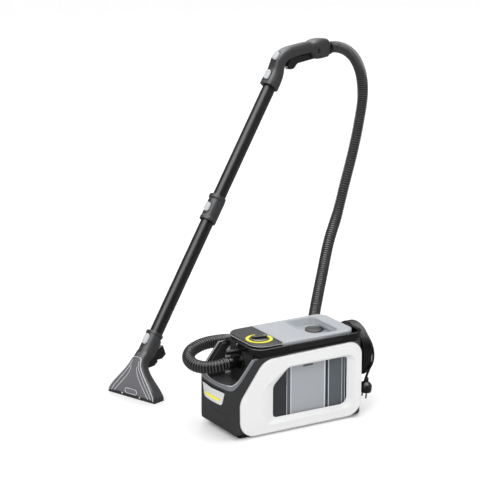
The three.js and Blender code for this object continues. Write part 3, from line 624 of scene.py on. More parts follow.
def row_tree():
    """Equal bars in a row from one place to another."""
    tree, given, result = new_tree("row of bars", [
        ("Start", VECTOR, (0, 0, 0)), ("Step", VECTOR, (1, 0, 0)), ("Count", INT, 5),
        ("Bar Size", VECTOR, (1, 1, 1)), ("Turn", VECTOR, (0, 0, 0)), ("Finish", MATERIAL, None)])
    line = node(tree, "GeometryNodeMeshLine", {
        "Count": given.outputs["Count"], "Start Location": given.outputs["Start"],
        "Offset": given.outputs["Step"]})
    bar = node(tree, "GeometryNodeMeshCube", {"Size": given.outputs["Bar Size"]})
    turned_bar = node(tree, "FunctionNodeEulerToRotation", {0: given.outputs["Turn"]})
    bars = node(tree, "GeometryNodeInstanceOnPoints", {
        "Points": line.outputs[0], "Instance": bar.outputs[0], "Rotation": turned_bar.outputs[0]})
    return close_tree(tree, given, result, bars.outputs[0])


def wheel_tree():
    """Equal bars round a circle, each turned to face outwards."""
    tree, given, result = new_tree("wheel of bars", [
        ("Count", INT, 12), ("Radius", FLOAT, 20.0), ("Bar Size", VECTOR, (1, 1, 1)), ("Lean", FLOAT, 0.0),
        ("Finish", MATERIAL, None)])
    circle = node(tree, "GeometryNodeMeshCircle", {
        "Vertices": given.outputs["Count"], "Radius": given.outputs["Radius"]})
    bar = node(tree, "GeometryNodeMeshCube", {"Size": given.outputs["Bar Size"]})
    spot = node(tree, "GeometryNodeInputPosition")
    facing = node(tree, "FunctionNodeAlignRotationToVector", {"Vector": spot.outputs[0]})
    facing.axis = "X"
    leaning = node(tree, "FunctionNodeAxisAngleToRotation", {
        "Axis": (0.0, 0.0, 1.0), "Angle": given.outputs["Lean"]})
    rotated = node(tree, "FunctionNodeRotateRotation", {
        "Rotation": facing.outputs[0], "Rotate By": leaning.outputs[0]})
    rotated.rotation_space = "LOCAL"
    bars = node(tree, "GeometryNodeInstanceOnPoints", {
        "Points": circle.outputs[0], "Instance": bar.outputs[0], "Rotation": rotated.outputs[0]})
    return close_tree(tree, given, result, bars.outputs[0])


RIBBED_LINE, ROW, WHEEL = ribbed_line_tree(), row_tree(), wheel_tree()


def grown(tree, values, line=((0, 0, 0),)):
    """The plain mesh that a tree makes, from a line of points and named input values."""
    mesh = bpy.data.meshes.new("line")
    mesh.from_pydata([tuple(map(float, p)) for p in line], [(i, i + 1) for i in range(len(line) - 1)], [])
    thing = stand_in(mesh)
    modifier = thing.modifiers.new(tree.name, "NODES")
    modifier.node_group = tree
    for item in tree.interface.items_tree:
        if item.item_type == "SOCKET" and item.in_out == "INPUT" and item.name in values:
            modifier[item.identifier] = values[item.name]
    result = shown_mesh(thing)
    bpy.data.objects.remove(thing)
    return result


def ribbed(line, radius, depth, pitch, finish, cuts=6.0, sides=24):
    return grown(RIBBED_LINE, {
        "Radius": float(radius), "Rib Depth": float(depth), "Pitch": float(pitch), "Cuts": float(cuts),
        "Sides": sides, "Finish": finish[0]}, line)


def bar_row(start, step, count, size, finish, turned_by=(0, 0, 0)):
    return grown(ROW, {
        "Start": tuple(map(float, start)), "Step": tuple(map(float, step)), "Count": count,
        "Bar Size": tuple(map(float, size)), "Turn": tuple(map(float, turned_by)), "Finish": finish[0]})


def bar_wheel(count, radius, size, finish, lean=0.0):
    return grown(WHEEL, {
        "Count": count, "Radius": float(radius), "Bar Size": tuple(map(float, size)), "Lean": float(lean),
        "Finish": finish[0]})


# ---- hose and mains cable ----

wand_cos, wand_sin = math.cos(WAND_TURN), math.sin(WAND_TURN)


def from_wand_plane(x, z):
    return (WAND_AT[0] + x * wand_cos, WAND_AT[1] + x * wand_sin, z)


HOSE_ROUTE = [
    (CUFF_END - 2 * GAP, 0, PORT_Z), (-191, 0, PORT_Z), (-203, 1.5, 192), (-218, 8, 189), (-238, 26, 185),
    (-254, 58, 185), (-252, 96, 192), (-228, 126, 202), (-184, 141, 210), (-136, 144, 211), (-90, 147, 205),
    (-38, 151, 182), (12, 156, 143), (58, 164, 96), (104, 182, 50), (150, 214, 23), (200, 262, 18.5),
    (250, 314, 18.5), (298, 364, 24), (348, 418, 42), (399, 480, 71), (452, 545, 109), (523, 620, 187),
    (583, 675, 274),
    *[from_wand_plane(x, z) for x, z in (
        (966, 352), (1003, 442), (1044, 540), (1074, 630), (1092, 718), (1080, 790), (1046, 842), (1002, 874),
        (956, 891), (927, 895.4), (908.9, 895.4))],
]
LEAD_ROUTE = [
    (REAR + 29.6, 45, 60), (REAR + 35, 45.1, 60.1), (REAR + 43, 46.5, 62), (REAR + 50, 49.5, 68),
    (REAR + 53, 53.5, 77), (REAR + 51.5, 57.5, 87), (REAR + 46, 60.5, 96), (REAR + 38, 61.8, 103.5),
    (REAR + 29, 60.5, 109.5), (REAR + 21, 59, 115.5),
]


def on_coil(degrees, radius, x):
    angle = math.radians(degrees)
    return (x, COIL_Y + radius * math.cos(angle), COIL_Z + radius * math.sin(angle))


def cable_route():
    """From the gland over the winding's edge, round it in three layers, and down to the plug."""
    layers = (75.3, 68.1, 60.9)
    x_first, pitch, turns = 217.7, 7.2, 4
    route = [*LEAD_ROUTE]
    route += [on_coil(a, r, x) for a, r, x in (
        (-31, 82.4, 228), (-18, 82.8, 223.5), (-4, 82.4, 220), (12, 80.8, 218), (27, 77.6, x_first))]
    start = 40
    for layer, radius in enumerate(layers):
        for k in range(turns * 16):
            ease = min(k / 2, 1)
            before = layers[max(layer - 1, 0)]
            shift = pitch * k / 16
            x = x_first + (shift if layer % 2 == 0 else pitch * turns - shift)
            route.append(on_coil(start + 22.5 * k, before + (radius - before) * ease, x))
        start += 360 * turns
    route += [on_coil(start + a, r, x) for a, r, x in (
        (0, 60.9, 246.7), (30, 60.9, 247.3), (60, 60.9, 248.1), (88, 61.6, 249.6), (108, 64, 251.6),
        (124, 67.6, 252.8), (140, 72.2, 252.6), (154, 76.6, 250.8), (165, 80.2, 247), (174, 83, 242.2))]
    return [*route, (235.6, -65.3, 100.9)]


hose_line = smooth_route(HOSE_ROUTE, 16)
hose = piece("suction_hose_ribbed", ribbed(hose_line, HOSE_R, RIB_DEPTH, RIB_PITCH, HOSE, RIB_CUTS, 24),
             HOSE, "suction_hose", sharp=80, clean=0)

cable_line = smooth_route(cable_route(), 5)
cable = piece("mains_cable", ribbed(cable_line, CABLE_R, 0.0, 4.0, CORD, 1, 12), CORD,
              ["mains_lead", "mains_coil", "plug_tail"], sharp=80, clean=0)

# ---- side panels ----


def panel_edge(grow=0.0):
    return [(-122, 222 + grow, 58), (-199 - grow, 114, 58), (-198 - grow, 7 - grow, 46),
            (198 + grow, 8 - grow, 46), (198 + grow, 228 + grow, 42)]


BEVEL_EDGE = [(-44, 193, 30), (-124, 141, 30), (-123, 33, 16), (176, 35, 28), (176, 193, 28)]
WINDOW_EDGE = [(-38, 184, 26), (-88, 138, 26), (-88, 45, 12), (155, 44, 22), (155, 184, 10)]


def side_panel():
    """A white shell with a rounded rim, a flat face and a wide soft bevel that sinks to the window."""
    rim, bevel, window = (rounded(corners, 14, 8) for corners in (panel_edge(), BEVEL_EDGE, WINDOW_EDGE))
    edge = 5.5
    rings = [lift(rim, "y", -PANEL_IN)]
    for k in range(7):
        a = QUARTER * k / 6
        rings.append(lift(inset(rim, edge * (1 - math.cos(a))), "y", -HALF_WIDTH + edge * (1 - math.sin(a))))
    for outwards, y in ((3.4, 0), (1.6, 0.15), (0, 0.6), (-1.6, 1.35)):
        rings.append(lift(inset(bevel, -outwards), "y", -HALF_WIDTH + y))
    for outwards, y in ((3.4, 4.0), (1.8, 3.1), (0.7, 2.4), (0.1, 1.5), (0, 0.6)):
        rings.append(lift(inset(window, -outwards), "y", -PANEL_IN - y))
    rings.append(lift(window, "y", -PANEL_IN))
    return loft(rings, endless=True)


panel_mesh = side_panel()
piece("side_panel_near_shell", copy_of(panel_mesh), WHITE, "side_panel_near", sharp=50)
piece("side_panel_far_shell", moved(panel_mesh, MIRROR), WHITE, "side_panel_far", sharp=50)

# ---- front shell, scoop trim and badge ----


def panel_space():
    near = slab(panel_edge(0.9), "y", -HALF_WIDTH - 10, -PANEL_IN + GAP, steps=14)
    return near, moved(copy_of(near), MIRROR)


def front_plan(depth=0.0, back=HEAD_BACK - 4):
    return [(back, -SKIN + depth), (FRONT + 11 + depth, -SKIN + depth, 35 - depth), (FRONT + depth, 0, 300),
            (FRONT + 11 + depth, SKIN - depth, 35 - depth), (back, SKIN - depth)]


def front_profile(drop=0.0, back=HEAD_BACK - 4, grow=0.0):
    return [(back, FLOOR - grow), (FRONT + 19, FLOOR - grow, 26), (FRONT - 1 - grow, 82, 60),
            (FRONT - 1 - grow, SCOOP_RIM - drop), (FRONT + 15 + drop * 0.4, SCOOP_RIM - drop, 14),
            (-157 + drop * 0.7, DECK - GAP - drop * 0.4, 6), (back, DECK - GAP - drop * 0.4)]


def front_side(drop=0.0, back=HEAD_BACK - 4, grow=0.0):
    """The front's side view, as a block across the machine."""
    return slab(front_profile(drop, back, grow), "y", -SKIN - 8, SKIN + 8, steps=14)


def front_block(depth=0.0, drop=0.0, low=FLOOR, back=HEAD_BACK - 4, grow=0.0):
    return common(
        slab(front_plan(depth, back), "z", low, DECK + 5, steps=14),
        front_side(drop, back, grow),
        slab([(-SKIN - 6 + depth, FLOOR - 3, 40), (SKIN + 6 - depth, FLOOR - 3, 40), (SKIN + 6 - depth, 300),
              (-SKIN - 6 + depth, 300)], "x", FRONT - 20, 20, steps=14))


def scoop_pocket(wall=SKIN - PANEL_IN + 2.5):
    return slab([
        (-60, -SKIN + wall), (FRONT + 17 + wall, -SKIN + wall, 24), (FRONT + 1 + wall, 0, 200),
        (FRONT + 17 + wall, SKIN - wall, 24), (-60, SKIN - wall)], "z", SCOOP_FLOOR, 300, steps=14)


def rim_relief():
    """Thins the scoop's wall near its rim."""
    return cut(scoop_pocket(RIM_SKIN), front_side(12))


def below_trim(slack=0.0):
    return slab([
        (0, FLOOR - 20), (FRONT - 20, FLOOR - 20), (FRONT - 20, SCOOP_RIM - 7 - slack),
        (FRONT + 16, SCOOP_RIM - 7 - slack, 16), (-151, DECK - 2 - slack), (0, DECK - 2 - slack)],
        "y", -121, 121, steps=12)


def seam_groove():
    """The thin joint line of the lower shell: a band that follows the plan and dips in the middle."""
    line = rounded(front_plan(0, -120), 24, 30)
    line = line[line[:, 0] < -125]
    line = line[np.argsort(line[:, 1])]
    keep = [line[0]]
    for p in line[1:]:
        if np.linalg.norm(p - keep[-1]) > 2.0:
            keep.append(p)
    line = np.array(keep)
    step = np.gradient(line, axis=0)
    out = np.stack([step[:, 1], -step[:, 0]], 1)
    out /= np.linalg.norm(out, axis=1)[:, None]
    out *= 1 if out[len(out) // 2, 0] < 0 else -1
    height = np.interp(np.abs(line[:, 1]), [0, 62, 82, 97], [73, 68, 73, 79])
    height += np.maximum(0, line[:, 0] + 205) * 0.14
    rings = []
    for p, n, z in zip(line, out, height):
        a, b = p + n * 3, p - n * 0.9
        rings.append(np.array([(*a, z - 0.35), (*b, z - 0.35), (*b, z + 0.35), (*a, z + 0.35)]))
    return loft(rings)


def trim_core(depth, drop, low):
    """What lies inside the trim band."""
    return common(slab(front_plan(depth), "z", low, HIGH, steps=14), front_side(drop))


trim = cut(
    front_block(0, back=HEAD_FRONT - 2), trim_core(TRIM_THICK, 2.2, FLOOR), scoop_pocket(), below_trim())
trim_space = cut(
    front_block(-2, 0, 0, HEAD_FRONT - 2, 2), trim_core(TRIM_THICK + GAP, 2.5, FLOOR - 1), below_trim(GAP))
shell = cut(
    front_block(), scoop_pocket(), rim_relief(),
    slab(front_plan(13, 0), "z", FLOOR + 14, SCOOP_FLOOR - 4, steps=8),
    block(HEAD_FRONT - 2 * GAP, 10, -CORE, CORE, 0, HIGH), *panel_space(), trim_space, seam_groove(),
    block(FRONT - 5, FRONT + 1.0, -0.35, 0.35, 28, 73))
piece("front_shell_moulding", shell, ANTHRACITE, "front_shell", bevel=0.7, limit=28)
piece("scoop_trim_band", cut(trim, *panel_space(), scoop_pocket(TRIM_SKIN)), SILVER, "scoop_trim",
      bevel=0.7, limit=28)
# A bright strip along the scoop's inner rim: a painted highlight for the light on the trim's bevelled edge.
piece("scoop_trim_painted_highlight", cut(
    common(front_block(0, back=HEAD_FRONT - 2), scoop_pocket(TRIM_SKIN)), scoop_pocket(RIM_SKIN),
    front_side(2.2)), PLATE_SILVER)


def badge(half, z0, z1, radius, depth0, depth1):
    skin = cut(
        slab(front_plan(depth0, 0), "z", z0 - 1, z1 + 1, steps=20),
        slab(front_plan(depth1, 10), "z", z0 - 2, z1 + 2, steps=20))
    corners = [(-half + radius, z0, radius), (half - radius, z0, radius), (half, z1, 1.5), (-half, z1, 1.5)]
    return common(skin, slab(corners, "x", FRONT - 5, FRONT + 40, steps=12))


piece("badge_plate_blank", badge(60, 94, 133, 12, -1.6, -GAP), PLATE_SILVER, "badge_plate", bevel=0.45)
piece("badge_bar_yellow", badge(39, 104.5, 111.5, 0.8, -2.8, -1.9), YELLOW, "badge_bar", bevel=0.25)
piece("scoop_tooth_strip", together(*[
    bar_row((FRONT - 1.0, side * 1.5, 135.0), (0.36, side * 3.0, 0), 20, (2.4, 1.5, 2.6), GLOSS)
    for side in (-1, 1)]), GLOSS, clean=0)

# ---- rear shell, base and feet ----


def rear_plan(depth=0.0, front=BAY_BACK):
    return [(front, -SKIN + depth), (REAR - 7 - depth, -SKIN + depth, 30 - depth), (REAR - depth, 0, 300),
            (REAR - 7 - depth, SKIN - depth, 30 - depth), (front, SKIN - depth)]


rear = cut(
    slab(rear_plan(), "z", FLOOR, DECK - GAP, 2.5, steps=14), slab(rear_plan(13, 0), "z", 22, 214, steps=8),
    *panel_space(), block(REAR - 1.0, REAR + 5, -98, 98, 73, 73.7),
    bar_row((REAR - 2.5, -21, 36), (0, 0, 5), 6, (12, 34, 2.2), ANTHRACITE),
    block(REAR - 16, REAR + 5, -52, -50, 20, 22))
piece("rear_shell_moulding", rear, ANTHRACITE, "rear_shell", bevel=0.6)

pan = cut(
    slab(rectangle(HEAD_FRONT, -CORE, BAY_BACK - GAP, CORE, 3), "z", FLOOR, 30, 1.2),
    block(HEAD_FRONT + 4, BAY_BACK - 4 - GAP, -CORE + 4, CORE - 4, FLOOR + 4, 40),
    *[bar_row((-100, y, FLOOR), (14, 0, 0), 14, (3, 40, 3), SATIN_BLACK) for y in (-30, 30)])
piece("base_pan_moulding", pan, SATIN_BLACK, "base_pan", bevel=0.4)


def foot(x, y):
    pad = slab(rectangle(x - 20, y - 11, x + 20, y + 11, 10), "z", 0, FLOOR - GAP, 1.6, 10)
    return cut(pad, bar_row((x - 12, y, 0), (4, 0, 0), 7, (1.4, 30, 1.0), RUBBER))


for end, foot_x in (("front", -172), ("rear", 128)):
    for side, foot_y in (("near", -70), ("far", 70)):
        piece(f"foot_{end}_{side}_pad", foot(foot_x, foot_y), RUBBER, f"foot_{end}_{side}")
piece("base_screws", together(*[
    moved(part, at(x, y, FLOOR - 1.3)) for x in (-120, 60, 140) for y in (-60, 60) for part in (
        turned([(0, 0), (3.4, 0), (3.4, 1.2, 0.5), (0, 1.2)], 24),
        bar_wheel(3, 1.1, (2.4, 0.7, 0.5), METAL))]), METAL)

# ---- head and control panel ----


def head_housing():
    low = slab(rectangle(HEAD_FRONT, -CORE + 2, HEAD_BACK, CORE - 2, 2), "z", 30 + GAP, SCOOP_FLOOR + 2)
    high = slab(front_and_back(HEAD_FRONT, HEAD_BACK, RIM_HALF - 4, 38), "z", SCOOP_FLOOR, LID_UNDER - GAP,
                steps=16)
    return cut(
        join(low, high), block(PANEL_BACK, 0, -120, 120, DECK_TOP, HIGH),
        block(HEAD_FRONT + 4, HEAD_BACK - 4, -66, 66, 0, DECK_TOP - 4))


piece("head_housing_moulding", head_housing(), ANTHRACITE, "head_housing", bevel=0.9)
piece("control_panel_cap", slab(
    front_and_back(HEAD_FRONT, PANEL_BACK - GAP, RIM_HALF - 1.5, 40, 0.6), "z", LID_UNDER, TOP, 2.6, 18, 6),
    SATIN_BLACK, "control_panel", sharp=40)


# A thin bright strip just under the panel's top edge: a painted highlight for the light along its rounded
# edge.
def panel_highlight_line(grow):
    return slab(front_and_back(HEAD_FRONT - grow, PANEL_BACK - GAP, RIM_HALF - 1.5 + grow, 40 + grow),
                "z", TOP - 4.6, TOP - 2.8, 0.2, 18)


# The panel's edge strip in bright lacquer is a painted highlight.
piece("control_panel_painted_highlight", cut(
    panel_highlight_line(0.35), slab(front_and_back(HEAD_FRONT + 1, 0, RIM_HALF - 2.5, 39), "z", 200, HIGH, steps=18)),
    PLATE_SILVER)


def ring_sector(inner, outer, from_degrees, to_degrees, low, high):
    angles = np.radians(np.linspace(from_degrees, to_degrees, 72))
    rings = []
    for a in angles:
        c, s = math.cos(a), math.sin(a)
        rings.append(np.array([
            (inner * c, inner * s, low), (outer * c, outer * s, low), (outer * c, outer * s, high - 0.3),
            ((outer - 0.3) * c, (outer - 0.3) * s, high), ((inner + 0.3) * c, (inner + 0.3) * s, high),
            (inner * c, inner * s, high - 0.3)]))
    return loft(rings)


piece("dial_mark_ring", moved(
    ring_sector(*KNOB_RING, 79, 382, 0, 1), at(*KNOB_AT, TOP + GAP)), YELLOW, "dial_mark", sharp=50)
knob = join(
    turned([(0, 0), (26, 0), (26, 2.2, 0.8), (23.6, 4.2, 1.2), (0, 4.2)], 96),
    slab([(-23, -8, 7), (23, -8, 7), (23, 8, 7), (-23, 8, 7)], "z", 3, 9.5, 1.6, 12, 5))
knob = cut(knob, *[
    bar_row((-15, side * 9.2, 8.4), (2.5, 0, 0), 13, (1.0, 3.4, 8), SATIN_BLACK) for side in (-1, 1)])
ON_PANEL = at(*KNOB_AT, TOP + 2 * GAP)
piece("switch_knob_grip", moved(knob, turn("Z", KNOB_TURN), ON_PANEL), SATIN_BLACK, "switch_knob", "switch",
      bevel=0.3)
pointer = slab(rectangle(12, -1.1, 21, 1.1, 1.0), "z", 9.3, 9.9, 0.15, 6)
# A silver ring round the knob's edge: a painted highlight along its rim.
knob_highlight_rim = turned([(24.4, 1.9), (26.2, 1.9, 0.3), (26.2, 2.7, 0.3), (24.4, 3.5, 0.3)], 96)
piece("switch_knob_painted_highlight", moved(knob_highlight_rim, ON_PANEL), SILVER, (), "switch", sharp=60)
piece("switch_pointer", moved(pointer, turn("Z", KNOB_TURN), ON_PANEL), BUTTON, (), "switch")

# ---- top frame and carrying handle ----


def top_frame():
    plate = slab(near_and_far(HEAD_FRONT + 4, BAIL_REAR - 4, SKIN, 12, 34), "z", DECK, DECK_TOP, 1.2, 14)
    collar = slab(near_and_far(PANEL_BACK - 6, LID_BACK, RIM_HALF - 0.5, 0, 26), "z", DECK, LID_UNDER - GAP,
                  steps=14)
    bay = slab(rectangle(HEAD_BACK - 3, -82, BAY_BACK, 82, 8), "z", 0, HIGH)
    head = slab(front_and_back(HEAD_FRONT - GAP, HEAD_BACK + GAP, RIM_HALF - 3, 38), "z", 0, HIGH, steps=16)
    pin_block = block(LID_BACK + 1, BAIL_REAR - 2, -9, 9, DECK_TOP - 1, 251, 1.5)
    return cut(join(plate, collar, pin_block), bay, head)


piece("top_frame_moulding", top_frame(), GLOSS, "top_frame", bevel=0.8)


def bail():
    outer = slab([
        (BAIL_FRONT, -BAIL_FAR, 36), (BAIL_REAR + 9, -BAIL_FAR, 34), (BAIL_REAR + 9, 14), (BAIL_FRONT, 14)],
        "z", BAIL_LOW, BAIL_HIGH, steps=18)
    inner = slab([
        (BAIL_FRONT + 8, -BAIL_NEAR, 34), (BAIL_REAR, -BAIL_NEAR, 30), (BAIL_REAR, 60), (BAIL_FRONT + 8, 60)],
        "z", 0, HIGH, steps=18)
    end = (BAIL_HIGH - BAIL_LOW) / 2
    ends = slab([
        (-BAIL_FAR - 5, BAIL_Z - end), (end, BAIL_Z - end, end - 0.1), (end, BAIL_Z + end, end - 0.1),
        (-BAIL_FAR - 5, BAIL_Z + end)], "x", BAIL_FRONT - 5, BAIL_REAR + 15, steps=14)
    pin_hole = moved(rod(4.3, -600, 600, 32), turn("Y", QUARTER), at(0, 0, BAIL_Z))
    seat = block(GRIP[0] - GAP, GRIP[1] + GAP, -BAIL_FAR - 5, -BAIL_NEAR - 3.5, 0, HIGH)
    return cut(common(ends, cut(outer, inner)), pin_hole, seat)


piece("carrying_handle_bail", bail(), GLOSS, "carrying_handle", "carry_handle", bevel=1.5, bends=3)
grip = slab([
    (-BAIL_FAR, BAIL_LOW + 0.2, 2), (-BAIL_NEAR - 3.8, BAIL_LOW + 0.2), (-BAIL_NEAR - 3.8, BAIL_HIGH - 0.2),
    (-BAIL_FAR, BAIL_HIGH - 0.2, 2)], "x", *GRIP, steps=6)
grip = cut(grip, bar_row(
    (GRIP[0] + 8, -BAIL_FAR - 0.1, BAIL_Z), (4.0, 0, 0), 40, (0.9, 1.1, 11), RUBBER))
piece("handle_grip_insert", grip, RUBBER, "handle_grip", "carry_handle", bevel=0.4)
for pin_name, x0, x1 in (
        ("handle_pin_front", BAIL_FRONT - 1, HEAD_FRONT - GAP),
        ("handle_pin_rear", BAIL_REAR - 2 + GAP, BAIL_REAR + 11)):
    pin = moved(rod(4, x0, x1, 32, 0.6), turn("Y", QUARTER), at(0, 0, BAIL_Z))
    piece(f"{pin_name}_steel", pin, METAL, pin_name)

# ---- water tanks, float and lid ----

RECESS_X0, RECESS_X1, RECESS_HALF, RECESS_FLOOR, RECESS_FLOOR_X0 = 40.0, 141.0, 70.0, 239.0, 74.0
HINGE_X, ARM_Z = 86.6, 251.0


def tank(x0, x1):
    body = slab(rectangle(x0, -TANK_HALF, x1, TANK_HALF, 7), "z", TANK_FOOT, TANK_RIM, 1.5, 8)
    inside = slab(rectangle(x0 + TANK_SKIN, -TANK_HALF + TANK_SKIN, x1 - TANK_SKIN, TANK_HALF - TANK_SKIN, 5),
                  "z", TANK_FOOT + 3, TANK_RIM + 8, steps=8)
    return cut(body, inside)


piece("fresh_tank_wall", tank(HEAD_BACK + 2, 92), CLEAR_TANK, "fresh_water_tank", "tank", sharp=40)
piece("waste_tank_wall", tank(96, BAY_BACK - 3), SMOKE_TANK, "waste_water_tank", "tank", sharp=40)


def tank_strips(places, out=0.9):
    """Upright strips on both long walls of a tank, each given as its middle and width; they paint highlights
    and shade on the walls.
    """
    return together(*[
        block(x - width / 2, x + width / 2, side * TANK_HALF - 0.4, side * TANK_HALF + side * out,
              TANK_FOOT + 4, TANK_RIM - 4, 0.2)
        for x, width in places for side in (-1, 1)])


def tank_catch(side):
    middle = side * (TANK_HALF + 0.5)
    return slab(rectangle(14, middle - 0.9, 46, middle + 0.9, 0.8), "z", 175, 181, 0.4, 4)


for name, mesh, finish in (
        # Bright strips at the tanks' rounded edges are painted highlights.
        ("fresh_tank_painted_highlights", tank_strips(((-26, 2.2), (84.6, 2.4), (-39.5, 1.4))), PALE_TANK_AND_HIGHLIGHT),
        # A darker band at the tank's rounded front corner is painted shade.
        ("fresh_tank_painted_corner_shade", tank_strips(((-33.2, 11),), 0.45), SMOKE_TANK),
        ("waste_tank_painted_highlights", tank_strips(((98.2, 1.8), (142.5, 1.0), (152.5, 1.2))), PALE_TANK_AND_HIGHLIGHT),
        ("fresh_tank_baffle", together(
            slab(rectangle(4, -77, 60, 77, 5), "z", TANK_FOOT + 4, 122, 1.0, 6),
            slab(rectangle(24, -77.6, 42, 77.6, 2), "z", TANK_FOOT + 4, 112, 0.5)), PALE_TANK_AND_HIGHLIGHT),
        ("tank_catches", together(tank_catch(-1), tank_catch(1)), SMOKE_TANK)):
    piece(name, mesh, finish, (), "tank")
piece("float_ball_hollow", moved(turned(
    [(0, -14), *[(14 * math.cos(a), 14 * math.sin(a)) for a in np.linspace(-1.4, 1.4, 19)], (0, 14)], 40),
    at(127, -30, 120)), WHITE, "float_ball", "float", sharp=80)
cage = cut(pipe(17, 19, 90, 228, 48, 0.4), *[
    moved(bar_row((0, 0, 104), (0, 0, 16), 7, (60, 10, 10), SATIN_BLACK), turn("Z", k * math.pi / 3))
    for k in range(3)])
piece("float_cage_slotted", moved(cage, at(127, -30, 0)), SATIN_BLACK, "float_cage", "tank", bevel=0.3)


LID_OUTLINE = near_and_far(PANEL_BACK, LID_BACK, RIM_HALF, 0.8, 30)


def recess_space():
    def ring(x0, half, z):
        return lift(rounded(rectangle(x0, -half, RECESS_X1, half, 16), 12), "z", z)

    return loft([
        ring(RECESS_FLOOR_X0, RECESS_HALF - 6, RECESS_FLOOR),
        ring(RECESS_X0 - 1.5, RECESS_HALF + 0.3, TOP + 1)])


def tank_lid():
    plate = slab(LID_OUTLINE, "z", LID_UNDER, TOP, 2.6, 16, 5)
    arm_room = cut(
        block(HINGE_X - 4 - GAP, LID_BACK + 5, -RIM_HALF - 5, RIM_HALF + 5, ARM_Z - GAP, TOP + 5),
        slab(rectangle(0, -RECESS_HALF - 3, RECESS_X1 + 3, RECESS_HALF + 3, 16), "z", 0, HIGH, steps=14))
    return cut(plate, recess_space(), arm_room)


def lid_basin():
    outer = slab(rectangle(HEAD_BACK + 4, 3 - TANK_HALF, BAY_BACK - 5, TANK_HALF - 3, 5), "z",
                 TANK_RIM + GAP, LID_UNDER - GAP, 0.8, 8)
    under = block(HEAD_BACK + 8, RECESS_X0 - 5, 7 - TANK_HALF, TANK_HALF - 7, 230, LID_UNDER - 1)
    return cut(outer, recess_space(), under)


def rim_handle():
    plate = common(
        slab(LID_OUTLINE, "z", ARM_Z, TOP, 2.6, 16, 5),
        slab([(HINGE_X - 4, ARM_Z, 3.9), (LID_BACK + 1, ARM_Z), (LID_BACK + 1, TOP), (HINGE_X - 4, TOP, 3.9)],
             "y", -100, 100, steps=8))
    return cut(plate, slab(rectangle(
        0, -RECESS_HALF - 3 - GAP, RECESS_X1 + 3 + GAP, RECESS_HALF + 3 + GAP, 16), "z", 0, HIGH, steps=14))


piece("tank_lid_plate", tank_lid(), LID_GREY, "tank_lid", "lid", bevel=0.7, bends=3)
piece("lid_basin_moulding", lid_basin(), LID_GREY, "lid_basin", "lid", bevel=0.5)
piece("lid_handle_plate", rim_handle(), LID_GREY, "tank_handle", "rim_handle", bevel=0.6, bends=3)
cover = turned([(0, 0), (26.5, 0), (26.5, 3.4, 1.5), (23, 4.4, 1), (21.6, 3.4, 0.6), (0, 3.8)], 80)
piece("float_cover_cap", moved(cover, at(112, 18, RECESS_FLOOR + GAP)), SATIN_BLACK, "float_cover", "lid",
      bevel=0.3)
seal = cut(
    slab(rectangle(HEAD_BACK + 3.4, 2.4 - TANK_HALF, BAY_BACK - 4.4, TANK_HALF - 2.4, 5.6),
         "z", 233.4, 236, 1.0, 8),
    slab(rectangle(HEAD_BACK + 5, 4 - TANK_HALF, BAY_BACK - 6, TANK_HALF - 4, 4), "z", 0, HIGH, steps=8))
piece("lid_seal_lip", seal, RUBBER, (), "lid")
piece("recess_steps", bar_row(
    (RECESS_X1 - 1.4, -6, 243), (-2.2, 0, 4.6), 3, (3.0, 84, 1.6), LID_GREY), LID_GREY, (), "lid", clean=0)
piece("recess_floor_frame", moved(cut(
    slab(rectangle(-46, -52, 22, 52, 8), "z", 0, 1.2, 0.4, 8),
    slab(rectangle(-43, -49, 19, 49, 6), "z", -1, 3)),
    at(118, 0, RECESS_FLOOR - 0.2)), LID_GREY, (), "lid")

# ---- motor, fan and pump inside the head ----

MOTOR_AT = at(-91, 0)
motor = join(
    turned([(0, 64), (40, 64, 1), (44, 68, 2), (44, 138, 2), (38, 144, 2), (0, 144)], 64),
    moved(bar_wheel(24, 42.6, (2.6, 1.6, 60), CAST), at(0, 0, 103)))
piece("suction_motor_casting", moved(motor, MOTOR_AT), CAST, "suction_motor")
fan = together(
    rod(34, 150, 152, 64, 0.4), turned([(0, 151.5), (12, 151.5), (9, 162, 2), (0, 164)], 48),
    moved(bar_wheel(9, 21, (22, 1.2, 9), METAL, 0.6), at(0, 0, 156)))
piece("fan_blades", moved(fan, MOTOR_AT), METAL, "fan_impeller", "fan")
piece("fan_cover_shroud", moved(turned(
    [(38, 146, 0.4), (44, 146, 0.4), (44, 176, 3), (14, 182, 0.6), (14, 179, 0.6), (38, 172, 3)], 72),
    MOTOR_AT), SATIN_BLACK, "fan_cover")
pump = join(
    slab(rectangle(-205, -32, -165, 30, 3), "z", 28, 66, 2),
    slab(rectangle(-198, -60, -172, -31, 3), "z", 34, 60, 2),
    bar_row((-185, -20, 66), (0, 8, 0), 5, (30, 2, 3), SATIN_BLACK))
piece("spray_pump_body", pump, SATIN_BLACK, "spray_pump", bevel=0.4)

# ---- hose port, cuff and spray line ----

